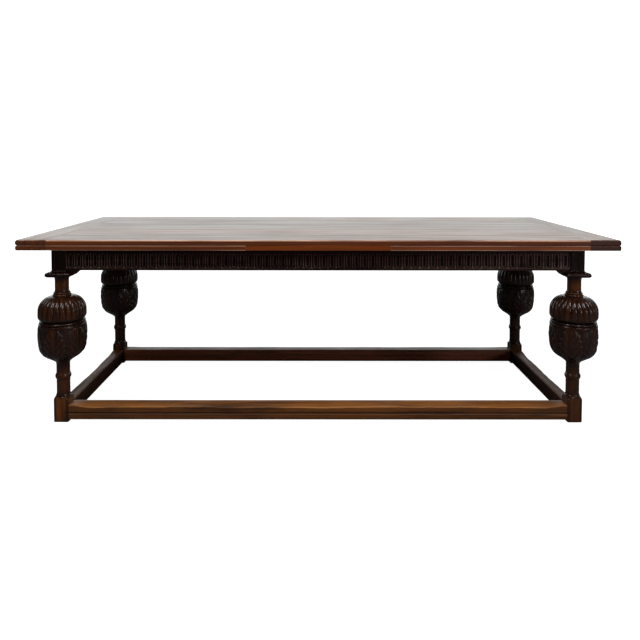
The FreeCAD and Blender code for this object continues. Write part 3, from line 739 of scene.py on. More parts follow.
def swell(values: Array, seed: int, size: float, slowest: float = 4, spread: float = 22) -> Array:
    """A smooth irregular line that stands for hand work and wear.

    Args:
        values: Where along the line, in metres.
        seed: Which line.
        size: Height of the line.
        slowest: Pace of the slowest of its waves.
        spread: How much faster the fastest may be.

    Returns:
        The heights.
    """
    waves = np.random.default_rng(seed).uniform(0.0, 1.0, (WAVES, 2))
    line = sum(np.sin(values * (slowest + spread * pace) + PHASE_TURN * phase) for pace, phase in waves)
    return line * size / len(waves)


def smooth(values: Array, low: float, high: float) -> Array:
    """Eases from zero at the low level to one at the high level."""
    share = np.clip((values - low) / (high - low), 0.0, 1.0)
    return share * share * (3 - 2 * share)


def fall(values: Array, low: float, high: float) -> Array:
    """Eases from one at the low level to zero at the high level."""
    return smooth(-values, -high, -low)


def peak(values: Array, middle: float, width: float) -> Array:
    """A soft peak of height one."""
    return np.exp(-((values - middle) / width) ** 2)


def dome(share: Array) -> Array:
    """A round height of one in the middle that ends at a share of one."""
    return np.sqrt(np.clip(1 - share ** 2, 0, 1))


@dataclass
class Blank:
    """Points of a turned blank: angles in radians, heights and radii in millimetres."""

    angle: Array
    height: Array
    reach: Array


@dataclass(frozen=True)
class LeafShape:
    """One carved leaf, in shares of its length and of half its room."""

    width: float = 0.99
    least_width: float = 0.05
    base: float = 0.16
    fullness: float = 0.38
    edge: Place = (-0.03, 0.14)
    teeth: float = 6.5
    tooth_depth: float = 0.07
    tooth_phase: float = 0.6
    veins: float = 5.0
    vein_depth: float = 0.3
    vein_slant: float = 1.9
    vein_phase: float = 0.1
    vein_run: Place = (0.06, 0.3)
    rib_half: float = 0.08
    rib_depth: float = 0.22
    groove_at: float = 0.14
    groove_half: float = 0.05
    tip_lift: float = 0.4
    tip_run: Place = (0.72, 0.96)
    side_drop: float = 0.4
    cup_depth: float = 0.4
    dart_half: float = 0.12
    dart_run: Place = (0.4, 0.85)
    dart_height: float = 0.85

    def level(self, sector: Array, rise: Array) -> Array:
        """Works out how high the leaf and the darts beside it stand.

        Args:
            sector: Places across the leaf, from -1 to 1.
            rise: Places up the leaf, from 0 to 1.

        Returns:
            The heights, about one on the body of the leaf.
        """
        across = np.abs(sector)
        teeth = 1 + self.tooth_depth * np.sin(FULL_TURN * rise * self.teeth - self.tooth_phase)
        swelling = np.sin(math.pi * (self.base + (1 - self.base) * rise)) ** self.fullness
        outline = self.width * swelling * teeth
        share = np.clip(across / np.maximum(outline, self.least_width), 0.0, 1.0)
        slant = rise * self.veins - share * self.vein_slant - self.vein_phase
        veins = np.cos(FULL_TURN * slant) * smooth(share, *self.vein_run)
        rib = peak(sector, 0.0, self.rib_half) - peak(across, self.groove_at, self.groove_half)
        cupped = self.tip_lift * smooth(rise, *self.tip_run) - self.side_drop * share ** 2
        body = 1 + self.vein_depth * veins + self.rib_depth * rib + self.cup_depth * cupped
        dart = peak(across, 1.0, self.dart_half) * smooth(rise, *self.dart_run) * self.dart_height
        return np.maximum(smooth(outline - across, *self.edge) * body, dart)


@dataclass
class CarvedLeg:
    """A leg with its square blocks, moulded capital and carved cup and cover, in millimetres."""

    axis_x: float
    axis_y: float
    height: float
    post_half: float = 30.25
    foot_top: float = 105.0
    capital_base: float = 609.0
    stem: float = 26.6
    neck: float = 27.7
    squareness: float = 22.0
    blank_share: float = 1.5
    planing_slack: float = 0.1
    lobes: int = 24
    lobe_steps: int = 12
    lobe_depth: float = 5.4
    lobe_fullness: float = 0.9
    lobe_start: float = 0.2
    least_lobe: float = 0.25
    full_reach: float = 95.0
    lip_share: float = 0.25
    lip_run: Place = (434.0, 441.0)
    shoulder_run: Place = (440.0, 482.0)
    crown_run: Place = (519.0, 526.5)
    leaf: LeafShape = LeafShape()
    leaves: int = 6
    leaf_depth: float = 3.4
    leaf_run: Place = (256.0, 406.0)
    leaf_fades: Place = (0.08, 0.96)
    leaf_start: float = 0.3
    leaf_crown: float = 1.25
    hand_depth: float = 0.16
    hand_pitches: Place = (17.0, 11.0)
    foot_run: Place = (96.0, 108.0)
    foot_wear: float = 0.66
    arris_run: Place = (0.8, 1.0)
    arris_spared: float = 0.8

    # The rubbed neck and stem: start, full, fading, end and how far
    RUBBED = ((548.0, 556.0, 590.0, 604.0, 0.85), (118.0, 130.0, 226.0, 244.0, 0.2))
    # Painted highlights on the two cone beads, and dirt with painted shade in two grooves: height, width and
    # how far
    PAINTED_BEAD_HIGHLIGHTS = ((532.0, 2.2, 0.7), (540.5, 2.0, 0.7))
    GROOVE_DIRT_AND_SHADE = ((428.0, 1.8, 1.0), (415.6, 1.0, 0.8))
    # Lobes and leaves: rubbed bright above a crest and how far, dirt with painted shade below a crest and how
    # far
    CRESTS = ((0.55, 0.3, 0.45, 1.3), (0.72, 0.45, 0.66, 0.9))

    def foot_block(self) -> list[Place]:
        """Heights and half sides of the foot block, rounded at the floor."""
        half = self.post_half
        return [(0.0, half - 2.5), (1.0, half - 0.9), (3.0, half), (46.0, half), (86.0, half),
                (self.foot_top, half)]

    def head_block(self) -> list[Place]:
        """Draws the upper square part.

        Returns:
            Heights and half sides up the capital, its cove and the head block.
        """
        base, half = self.capital_base, self.post_half
        capital = [(base + 0.3, 40.6)] + arc((base + 0.3, 41.6), (base + 10.4, 51.5), (base + 20.5, 41.6), 18)
        cove = [(629.9, 39.0), (630.1, 36.8)] + arc((630.2, 36.4), (632.4, 32.2), (638.0, half + 0.2), 8)
        block = [(648.0, half), (690.0, half), (self.height - 1.2, half), (self.height - 0.2, half - 0.8)]
        return capital + cove + block

    def turned_part(self) -> list[Place]:
        """Draws the turned part, from the shoulder of the foot block to the capital.

        Returns:
            Its heights and radii.
        """
        stem, neck = self.stem, self.neck
        # Shoulder, collar and stem
        part = arc((90.0, 43.0), (100.5, 37.5), (self.foot_top, 30.4), 9)
        part += arc((105.2, 29.0), (108.2, 30.0), (111.2, 28.8), 6)
        part += arc((111.6, 28.2), (116.0, 27.2), (123.0, stem), 6)
        part += [(140.0, stem), (160.0, stem), (177.6, stem + 0.3)]
        # Ring and the stem above it
        part += [(178.8, 27.8)] + arc((179.4, 27.9), (190.0, 31.6), (200.6, 27.9), 12) + [(201.2, 27.8)]
        part += [(202.6, stem + 0.2), (226.0, stem), (244.0, stem + 0.2)]
        # Cup, its rim and its bead
        part += arc((249.0, 27.4), (262.0, 44.0), (276.0, 65.3), 16)
        part += arc((276.0, 65.3), (290.0, 81.0), (313.0, 91.2), 20)
        part += arc((313.0, 91.2), (363.0, 95.9), (412.6, 92.6), 50)
        part += [(413.8, 91.8), (414.6, 88.6), (415.4, 86.0), (416.4, 86.0)]
        part += arc((416.6, 86.6), (421.0, 90.2), (425.4, 86.4), 10)
        # Waist and cover
        part += [(426.2, 80.0), (427.4, 76.4), (428.6, 76.2), (430.4, 80.0), (432.6, 87.0)]
        part += arc((433.2, 88.4), (438.8, 93.2), (448.0, 94.9), 10)
        part += [(455.0, 95.1), (461.5, 95.0), (467.0, 94.6)]
        part += arc((467.0, 94.6), (510.2, 76.8), (527.2, 37.8), 34)
        # Two beads, neck and flare
        part += [(527.8, 36.2)] + arc((528.2, 36.0), (531.6, 37.0), (535.2, 34.0), 7) + [(535.8, 32.8)]
        part += [(536.8, 32.6)] + arc((537.2, 32.8), (540.4, 33.4), (543.6, 30.6), 7)
        part += [(544.6, 29.4), (548.0, 28.4), (553.0, neck), (572.0, neck - 0.1), (590.0, neck)]
        return part + arc((590.0, neck), (601.0, 28.8), (608.6, 31.8), 9)

    def squared(self, blank: Blank) -> Array:
        """Planes the blank square at the foot, the capital and the head.

        Args:
            blank: The turned points.

        Returns:
            The radii after planing.
        """
        foot = np.interp(blank.height, *zip(*self.foot_block()))
        head = np.interp(blank.height, *zip(*self.head_block()))
        half = np.where(blank.height > self.capital_base + self.planing_slack, head, np.inf)
        half = np.where(blank.height < self.foot_top + self.planing_slack, foot, half)
        corner = sum(np.abs(way(blank.angle)) ** self.squareness for way in (np.cos, np.sin))
        return np.minimum(blank.reach, half * corner ** (-1 / self.squareness))

    def gadroons(self, blank: Blank) -> tuple[Array, Array]:
        """Works out the round lobes on the cover.

        Args:
            blank: The planed points.

        Returns:
            How deep the points sink, and the crest of the lobes from 0 to 1, or below 0 off the cover.
        """
        place = (blank.angle * self.lobes / FULL_TURN) % 1.0 * 2 - 1
        floor = math.sqrt(1 - self.lobe_fullness ** 2)
        crest = (np.sqrt(1 - (self.lobe_fullness * place) ** 2) - floor) / (1 - floor)
        lip = self.lip_share * smooth(blank.height, *self.lip_run)
        run = lip + (1 - self.lip_share) * smooth(blank.height, *self.shoulder_run)
        run = run * fall(blank.height, *self.crown_run)
        depth = self.lobe_depth * run * np.clip(blank.reach / self.full_reach, self.least_lobe, 1.0)
        return depth * (1 - crest), np.where(run > self.lobe_start, crest, -1.0)

    def foliage(self, blank: Blank) -> tuple[Array, Array]:
        """Works out the broad leaves on the cup.

        Args:
            blank: The planed points.

        Returns:
            How deep the points sink, and the crest of the leaves from 0 to 1, or below 0 off the cup.
        """
        sector = (blank.angle * self.leaves / FULL_TURN) % 1.0 * 2 - 1
        base, tip = self.leaf_run
        rise = (blank.height - base) / (tip - base)
        inside = (rise > 0) & (rise < 1)
        rise = np.clip(rise, 0.0, 1.0)
        level = self.leaf.level(sector, rise)
        first, last = self.leaf_fades
        run = inside * smooth(rise, 0.0, first) * fall(rise, last, 1.0)
        crest = np.where(run > self.leaf_start, np.clip(level / self.leaf_crown, 0, 1), -1.0)
        return self.leaf_depth * (1.0 - level) * run, crest

    def hand_marks(self, blank: Blank) -> Array:
        """Works out the slight unevenness of hand work.

        Args:
            blank: The planed points.

        Returns:
            How far the points stand out.
        """
        long_pitch, short_pitch = self.hand_pitches
        marks = self.hand_depth * np.sin(3 * blank.angle + blank.height / long_pitch)
        return marks * np.sin(blank.height / short_pitch + 2 * blank.angle)

    def wear(self, blank: Blank, lobe: Array, leaf: Array) -> tuple[Array, Array]:
        """Works out where the leg is rubbed bright, where its beads get painted highlights, and where dirt
        and painted shade darken it.

        Args:
            blank: The planed points.
            lobe: Crest of the lobes.
            leaf: Crest of the leaves.

        Returns:
            The wear with painted highlights, and the dirt with painted shade, from zero to one.
        """
        height = blank.height
        arris = smooth(np.abs(np.sin(2 * blank.angle)), *self.arris_run)
        worn = fall(height, *self.foot_run) * (1 - self.arris_spared * arris) * self.foot_wear
        for start, full, fading, end, share in self.RUBBED:
            worn = worn + smooth(height, start, full) * fall(height, fading, end) * share
        # Painted highlights on the beads, and dirt with painted shade in the grooves
        worn = worn + sum(share * peak(height, middle, width) for middle, width, share in self.PAINTED_BEAD_HIGHLIGHTS)
        dirt = sum(share * peak(height, middle, width) for middle, width, share in self.GROOVE_DIRT_AND_SHADE)
        for crest, (bright, bright_share, hollow_level, hollow_dirt_and_shade) in zip((lobe, leaf), self.CRESTS):
            worn = worn + bright_share * np.clip(crest - bright, 0, 1)
            dirt = dirt + hollow_dirt_and_shade * np.where(crest >= 0, np.clip(hollow_level - crest, 0, 1), 0.0)
        return worn, dirt

    def build(self, name: str) -> Piece:
        """Turns, squares and carves the leg at its place.

        Args:
            name: Name of the piece.

        Returns:
            The leg.
        """
        foot, head = ([(height, half * self.blank_share) for height, half in block]
                      for block in (self.foot_block()[:-1], self.head_block()))
        stations = foot + self.turned_part() + head
        rings = [(0.0, 0.0)] + [(radius, height) for height, radius in stations] + [(0.0, stations[-1][0])]
        centre = Vector((self.axis_x, self.axis_y, 0.0))
        leg = lathe(name, np.array(rings) * MM, centre, self.lobes * self.lobe_steps)
        points = points_of(leg)
        across, along = points[:, 0] - centre.x, points[:, 1] - centre.y
        blank = Blank(np.arctan2(along, across), points[:, 2] / MM, np.hypot(across, along) / MM)
        blank.reach = self.squared(blank)
        sunk_lobes, lobe = self.gadroons(blank)
        sunk_leaves, leaf = self.foliage(blank)
        carved = blank.reach - sunk_lobes - sunk_leaves + self.hand_marks(blank)
        reach = np.where(blank.reach > 1.0, carved, blank.reach) * MM
        points[:, 0] = centre.x + reach * np.cos(blank.angle)
        points[:, 1] = centre.y + reach * np.sin(blank.angle)
        return work(leg, points, *self.wear(blank, lobe, leaf))


@dataclass
class FlutedRail:
    """A frieze rail with stopped flutes above a plain lower band, in metres."""

    half_clear: float
    out: float
    bottom: float
    top: float
    flutes: int
    drift: float = 0.0
    drift_share: float = 0.33
    thickness: float = 28 * MM
    ground: float = 1.6 * MM
    flute_half: float = 6.4 * MM
    flute_depth: float = 3.8 * MM
    flute_foot: float = 15.5 * MM
    flute_head: float = 30.0 * MM
    head_sway: float = 0.8 * MM
    dart_half: float = 1.9 * MM
    dart_rise: float = 1.1 * MM
    dart_foot: Place = (11 * MM, 13 * MM)
    dart_head: float = 24 * MM
    dart_fade: float = 4 * MM
    band: float = 9.5 * MM
    band_top: float = 9.6 * MM
    band_rise: float = 1.4 * MM
    foot_ease: float = 1.2 * MM
    foot_drop: float = 0.8 * MM
    boss: float = 3.2 * MM
    boss_rise: float = 2.4 * MM
    boss_lift: float = 2.2 * MM
    boss_bright: float = 0.5 * MM
    # Bright arris lines, darts and bosses paint wear together with a highlight
    edge_half: float = 1.2 * MM
    edge_wear_and_highlight: float = 0.7
    dart_wear_and_highlight: float = 0.9
    # Painted light on the lower band, over its run above the bottom
    lower_band_painted_light: float = 0.07
    lower_band_light_run: Place = (10 * MM, 40 * MM)
    # Painted shade that dims the bright lines towards the top
    shade: float = 0.45
    shade_run: Place = (0.02, 0.075)
    spared: float = 0.55
    spared_at: Place = (0.25, 0.3)
    # Dirt with painted shade in the flutes, and a painted shadow of the overhang along the top
    dirt: float = 0.8
    top_painted_shadow_run: Place = (-0.03, -0.014)

    TENON = 30 * MM
    # Rows of the carved face in millimetres, above the bottom and below the top
    LOW_ROWS = (0.0, 0.4, 1.2, 5.0, 7.8, 8.7, 9.3, 9.7, 10.6, 11.6, 12.8, 14.0)
    TOP_ROWS = (24, 20, 12, 3, 0)
    # Columns in shares of half a flute from its middle, and of half a dart from the dart's middle
    FLUTE_COLUMNS = (0.0, 0.3, 0.6, 0.82, 0.95, 1.02, 1.15, 1.35)
    DART_COLUMNS = (1.6, 1.0, 0.5)
    # The bright line round a flute, wear with a painted highlight on its arris, as levels of the distance
    # from its middle
    LINE_START = (0.93, 1.02)
    LINE_END = (1.15, 1.35)

    def heights(self) -> Array:
        """Spaces the rows of the carved face, close together where the carving turns.

        Returns:
            The heights of the rows.
        """
        low = self.bottom + np.array(self.LOW_ROWS) * MM
        arch = np.linspace(self.bottom + 15 * MM, self.bottom + 23 * MM, 9)
        middle = np.linspace(self.bottom + 28 * MM, self.top - 40 * MM, 5)
        crown = np.linspace(self.top - 37.5 * MM, self.top - 26.5 * MM, 12)
        return np.concatenate([low, arch, middle, crown, self.top - np.array(self.TOP_ROWS) * MM])

    def columns(self) -> Array:
        """Spaces the columns along the rail, close together at the arrises of each flute.

        Returns:
            The places of the columns.
        """
        pitch = 2 * self.half_clear / self.flutes
        flute = np.array(self.FLUTE_COLUMNS) * self.flute_half
        half = np.concatenate([flute, pitch / 2 - np.array(self.DART_COLUMNS) * self.dart_half])
        unit = np.concatenate([-half[:0:-1], half, [pitch / 2]])
        starts = np.arange(self.flutes)[:, None] * pitch - self.half_clear + pitch / 2
        return np.concatenate([[-self.half_clear], (starts + unit[None, :]).ravel()])

    @staticmethod
    def uneven(number: Array) -> Array:
        """How deep each flute is against the others, as hand work varies."""
        return 1 + 0.16 * np.sin(number * 2.4) + 0.1 * np.sin(number * 5.1 + 1.0)

    def carve(self, points: Array) -> tuple[Array, Array, Array]:
        """Sinks the flutes and raises the darts, the bosses and the band.

        Args:
            points: Points of the plain rail.

        Returns:
            The carved points, the wear with painted highlights and painted light, and the dirt with painted
            shade.
        """
        along, up = points[:, 0], points[:, 2]
        above = up - self.bottom
        face = points[:, 1] < FACE_SLACK - self.out
        pitch = 2 * self.half_clear / self.flutes
        number = np.clip(np.floor((along + self.half_clear) / pitch), 0, self.flutes - 1)
        local = along + self.half_clear - (number + 0.5) * pitch
        low = self.bottom + self.flute_foot + self.flute_half
        high = self.top - self.flute_head - self.flute_half + self.head_sway * np.sin(number * 3.7)
        reach = np.hypot(local, np.maximum(np.maximum(low - up, up - high), 0.0)) / self.flute_half
        flute = self.flute_depth * self.uneven(number) * dome(reach)
        beside = pitch / 2 - np.abs(local)
        run = smooth(above, *self.dart_foot) * smooth(self.top - self.dart_head - up, 0.0, self.dart_fade)
        dart = run * dome(beside / self.dart_half)
        boss = self.boss_rise * dome(np.hypot(beside, above - self.band - self.boss_lift) / self.boss)
        band = self.band_rise * smooth(self.band_top - above, 0.0, self.band_rise)
        band = band - self.foot_drop * smooth(self.foot_ease - above, 0.0, self.foot_ease)
        carved = points.copy()
        carved[:, 1] += face * (flute - np.maximum(boss, self.dart_rise * dart) - band + self.ground)
        carved[:, 0] += np.interp(along, self.half_clear * np.array((-1, self.drift_share, 1)),
                                  (0.0, self.drift, 0.0))
        # Bright lines, darts and bosses are wear with a painted highlight, dimmed by painted shade near the
        # top
        lines = smooth(reach, *self.LINE_START) * fall(reach, *self.LINE_END)
        rubbed = 1 - self.spared * peak(along, *self.spared_at)
        shaded = self.shade + (1 - self.shade) * smooth(self.top - up, *self.shade_run)
        edge = self.edge_wear_and_highlight * peak(above, self.band, self.edge_half)
        bright = np.maximum(lines, self.dart_wear_and_highlight * dart) * shaded + (boss > self.boss_bright) + edge
        # Painted light brightens the lower band
        worn = face * (bright * rubbed + self.lower_band_painted_light * fall(above, *self.lower_band_light_run))
        # Flutes darken with dirt and painted shade, and the top strip with a painted shadow
        flute_dirt_and_top_shadow = np.maximum(flute / self.flute_depth, smooth(up - self.top, *self.top_painted_shadow_run))
        return carved, worn, face * self.dirt * flute_dirt_and_top_shadow

    def build(self, name: str, side: Side) -> Piece:
        """Models the rail as the front one and turns it to its side.

        Args:
            name: Name of the piece.
            side: The side of the frame.

        Returns:
            The rail.
        """
        heights = self.heights()
        face = np.stack([np.full(len(heights), -self.out), heights], axis=1)
        back = np.array([[self.thickness - self.out, self.top], [self.thickness - self.out, self.bottom]])
        rail = bar(name, np.concatenate([face, back]), Axis.X, self.columns())
        work(rail, *self.carve(points_of(rail)))
        rail.data.transform(side.turn())
        return rail


@dataclass
class WornStretcher:
    """A stretcher with a moulded foot and a top edge rubbed down by feet, in metres."""

    half_clear: float
    out: float
    bottom: float
    top: float
    seed: int
    width: float = 57 * MM
    drop: float = 10.0 * MM
    reach: float = 44 * MM
    fade: Place = (12 * MM, 95 * MM)
    slices: int = 100
    level_steps: int = 14
    worn_share: float = 0.55
    slope_power: float = 1.25
    upper_run: Place = (0.8, 0.95)
    arris_at: Place = (5 * MM, 4 * MM)
    quirk_at: Place = (26.3 * MM, 2.4 * MM)
    top_wear: float = 0.4
    slope_wear: float = 0.26
    arris_wear: float = 0.8
    face_wear: float = 0.14
    face_depth: float = 3 * MM
    # Painted shade on the inner face
    inner_face_shade: float = 0.2

    TENON = 20 * MM

    def section(self) -> Array:
        """Draws the outline from the inner foot round the outer face to the inner top.

        Returns:
            The outline as points across and up.
        """
        half, tall = self.width / 2 / MM, (self.top - self.bottom) / MM
        # Foot, its round upper edge and the quirk above it, from the outer face and the bottom
        outline = [(2 * half, 0.0), (2.0, 0.0), (0.5, 0.6), (0.0, 2.0), (0.0, 20.0)]
        outline += arc((0.0, 20.0), (0.9, 23.0), (3.4, 24.4), 5) + [(3.8, 25.2), (3.8, 27.4)]
        outline += arc((3.4, 28.0), (2.4, 29.0), (2.0, 31.0), 4)
        # Plain face, round arris, level top and eased inner arris
        outline += [(2.0, 31.0 + 5.0 * step) for step in range(1, 5)]
        outline += arc((2.0, tall - 3.0), (2.9, tall - 0.9), (5.0, tall), 4)
        room = 2 * half - 7.0
        outline += [(5.0 + room * step / self.level_steps, tall) for step in range(1, self.level_steps + 1)]
        outline += [(2 * half - 0.5, tall - 0.6), (2 * half, tall - 2.0)]
        return np.array(outline) * MM + (-self.width / 2, self.bottom)

    def rub(self, points: Array) -> tuple[Array, Array, Array]:
        """Wears the outer top edge down between the legs.

        Args:
            points: Points of the plain stretcher, as the front one about the middle of its width.

        Returns:
            The worn points, the wear, and the dirt with painted shade.
        """
        along, across, up = points.T
        tall = self.top - self.bottom
        outward = across + self.width / 2
        ends = smooth(self.half_clear - np.abs(along), *self.fade)
        uneven = 1 + swell(along, self.seed, 0.45) + swell(along * 4, self.seed + 9, 0.14)
        share = np.clip(1 - outward / self.reach, 0.0, 1.0)
        slope = np.sin(share * math.pi / 2) ** self.slope_power
        still = 1 - self.worn_share
        rise = np.clip((up - self.bottom - still * tall) / (self.worn_share * tall), 0, 1)
        arris = peak(outward, *self.arris_at)
        rubbed = self.top_wear + self.slope_wear * share + self.arris_wear * arris * ends
        worn = smooth(rise, *self.upper_run) * rubbed + self.face_wear * (outward < self.face_depth)
        # Dirt and painted shade in the quirk, and painted shade on the inner face
        quirk = peak(up - self.bottom, *self.quirk_at) * (across < 0)
        inner = self.inner_face_shade * (across > self.width / 2 - 0.2 * MM)
        lowered = points.copy()
        lowered[:, 2] -= self.drop * ends * np.clip(uneven, 0.5, 1.5) * slope * rise ** 3
        return lowered, worn, np.maximum(quirk, inner)

    def build(self, name: str, side: Side) -> Piece:
        """Models the stretcher as the front one and turns it to its side.

        Args:
            name: Name of the piece.
            side: The side of the frame.

        Returns:
            The stretcher.
        """
        stations = np.linspace(-self.half_clear, self.half_clear, self.slices + 1)
        rail = bar(name, self.section(), Axis.X, stations)
        points, worn, dirt_and_painted_shade = self.rub(points_of(rail))
        points[:, 1] -= self.out
        work(rail, points, worn, dirt_and_painted_shade)
        rail.data.transform(side.turn())
        return rail


@dataclass(frozen=True)
class Layer:
    """One layer of boards and cleats on one body, with its arrises and their wear."""

    body: str
    boards: int
    cleats: tuple[str, ...]
    upper: float
    lower: float
    wear: Place


@dataclass
class PlankTop:
    """Boards between cleats, shaped board by board from the frame's own boxes, in metres."""

    cleat_inside: float
    bed_half: float
    seam: float = 0.7 * MM
    seam_reach: float = 1.3 * MM
    seam_dirt: float = 0.8
    step: float = 0.5 * MM
    nose: float = 6.0 * MM
    nose_share: float = 1.5
    nose_steps: int = 6
    rear_wear: float = -0.5
    right_wear: float = 0.3
    # How dark the round ends of the right and left cleats are, and painted shade on their outer upper nose
    right_end_darkening: float = 1.0
    left_end_darkening: float = 0.5
    rim_painted_shade: float = 0.45
    plain: float = 0.1 * MM
    slices: int = 90

    # Rows over the round ends of a cleat, in shares of the radius, and the rows between
    EASE_ROWS = (0.0, 0.12, 0.3, 0.6, 1.0)
    MIDDLE_ROWS = 31
    FILLER_ROWS = 41

    def board(self, node: str, front: float, rear: float, lower: float, wear: Place) -> Piece:
        """Models one lengthwise board.

        Args:
            node: The frame's node that the board stands for.
            front: Radius of its upper front arris.
            rear: Radius of its upper rear arris.
            lower: Radius of its lower outer arris.
            wear: How far its upper and lower arrises are rubbed bright with a painted reflection, or darkened
                below zero.

        Returns:
            The board.
        """
        low, high = self.body_box(node)
        radii = (lower, lower, rear, front)
        stations = np.linspace(low.x, high.x, self.slices + 1)
        closed = low.x < -self.bed_half and high.x > self.bed_half
        if closed:
            for side in (-1, 1):
                outer = np.argmin(np.abs(stations - side * self.bed_half))
                stations[outer] = side * self.bed_half
                stations[outer - side] = side * (self.bed_half - self.step)
        outline = rounded_section((low.y, low.z), (high.y, high.z), radii)
        piece = bar(f"{node}_worn", outline, Axis.X, stations)
        points = points_of(piece)
        arris, joint = self.arris_of(points, low, high, radii)
        upper = points[:, 2] > (low.z + high.z) / 2
        if closed:
            within = np.abs(points[:, 0]) < self.bed_half - self.step / 2
            arris = np.where(within & ~upper, 0.0, arris)
            for edge in (low.y, high.y):
                near = np.abs(points[:, 1] - edge) < lower + ARRIS_SLACK
                points[within & near & (points[:, 2] < low.z + lower), 1:] = (edge, low.z)
        rubbed = np.clip(np.where(upper, *wear) * (1 + swell(points[:, 0], 4, 0.5)), -1, 1)
        rubbed = np.where(upper & (points[:, 1] > high.y - rear - ARRIS_SLACK), self.rear_wear, rubbed)
        return work(piece, points, arris * rubbed, joint * self.seam_dirt - arris * rubbed)

    def arris_of(self, points: Array, low: Vector, high: Vector,
                 radii: tuple[float, float, float, float]) -> tuple[Array, Array]:
        """Finds the points on the round arrises and on the joints of a board.

        Args:
            points: Points of the board.
            low: Lowest corner of the board.
            high: Highest corner of the board.
            radii: Radius of the lower front, lower rear, upper rear and upper front arris.

        Returns:
            One on the round arrises, and one on the joints.
        """
        arris, joint = np.zeros((2, len(points)))
        corners = ((low.y, low.z), (high.y, low.z), (high.y, high.z), (low.y, high.z))
        for corner, radius in zip(corners, radii):
            jointed = radius < 1.5 * self.seam
            reach = radius + (self.seam_reach if jointed else ARRIS_SLACK)
            near = (np.abs(points[:, 1:] - corner) < reach).all(axis=1)
            (joint if jointed else arris)[near] = 1.0
        return arris, joint

    def body_box(self, node: str) -> tuple[Vector, Vector]:
        """Box of a board without the tongues that are hidden in its cleats.

        Args:
            node: The frame's node.

        Returns:
            The lowest and highest corner.
        """
        low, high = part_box(node)
        low.x = max(low.x, -self.cleat_inside)
        high.x = min(high.x, self.cleat_inside)
        return low, high

    def cleat(self, node: str, upper: float, lower: float, wear: Place) -> Piece:
        """Models an end cleat with a round nose and eased ends.

        Args:
            node: The frame's node that the cleat stands for.
            upper: Radius of the upper arris at its ends.
            lower: Radius of the lower arris at its ends.
            wear: How far these arrises are rubbed bright with a painted reflection, or darkened below zero.

        Returns:
            The cleat.
        """
        low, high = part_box(node)
        right = high.x > 0
        outer = min(self.nose, self.nose_share * upper) if right else self.nose
        nose = (self.seam, outer, outer, self.seam) if right else (outer, self.seam, self.seam, outer)
        ease = np.array(self.EASE_ROWS) * upper
        inner = upper + 3 * MM
        middle = np.linspace(low.y + inner, high.y - inner, self.MIDDLE_ROWS)
        stations = np.concatenate([low.y + ease, middle, high.y - ease[::-1]])
        outline = rounded_section((low.x, low.z), (high.x, high.z), nose, self.nose_steps)
        piece = bar(f"{node}_worn", outline, Axis.Y, stations)
        points = points_of(piece)
        near = np.minimum(points[:, 1] - low.y, high.y - points[:, 1])
        above = points[:, 2] > (low.z + high.z) / 2
        points[:, 2] += np.where(above, -upper, lower) * (1 - dome(np.clip(1 - near / upper, 0.0, 1.0)))
        arris = np.where(above, *wear) * (near > 0.02 * upper) * (near < 0.9 * upper)
        # The round ends of the cleats are darker, the right one fully, and the outer upper nose takes painted
        # shade
        dirt = (self.right_end_darkening if right else self.left_end_darkening) * (near < upper + 1 * MM)
        rim = above * (np.abs(points[:, 0]) > max(abs(low.x), abs(high.x)) - outer)
        dirt = np.maximum(np.maximum(dirt, self.rim_painted_shade * rim), -arris)
        return work(piece, points, arris * (self.right_wear if right else 1.0), dirt)

    def filler(self, node: str, lower: float) -> Piece:
        """Models the strip that fills the edge between the two leaves.

        Args:
            node: The frame's node that the strip stands for.
            lower: Radius of its outer lower arris.

        Returns:
            The strip.
        """
        low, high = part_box(node)
        radii = [self.plain] * 4
        radii[0 if low.y < 0 else 1] = lower
        outline = rounded_section((low.y, low.z), (high.y, high.z), radii)
        return close(bar(f"{node}_worn", outline, Axis.X, np.linspace(low.x, high.x, self.FILLER_ROWS)))


@dataclass(frozen=True)
class Lamp:
    """A soft rectangular lamp, in metres and watts."""

    name: str
    place: Spot
    target: Spot
    size: Place
    power: float
    tint: Colour = (1.0, 1.0, 1.0)

    def hang(self) -> None:
        """Hangs the lamp at its place and turns it to its target."""
        data = bpy.data.lights.new(self.name, "AREA")
        data.shape = "RECTANGLE"
        data.size, data.size_y = self.size
        data.energy = self.power
        data.color = self.tint
        lamp = bpy.data.objects.new(self.name, data)
        lamp.location = self.place
        lamp.rotation_euler = (Vector(self.target) - Vector(self.place)).to_track_quat("-Z", "Y").to_euler()
        bpy.context.scene.collection.objects.link(lamp)


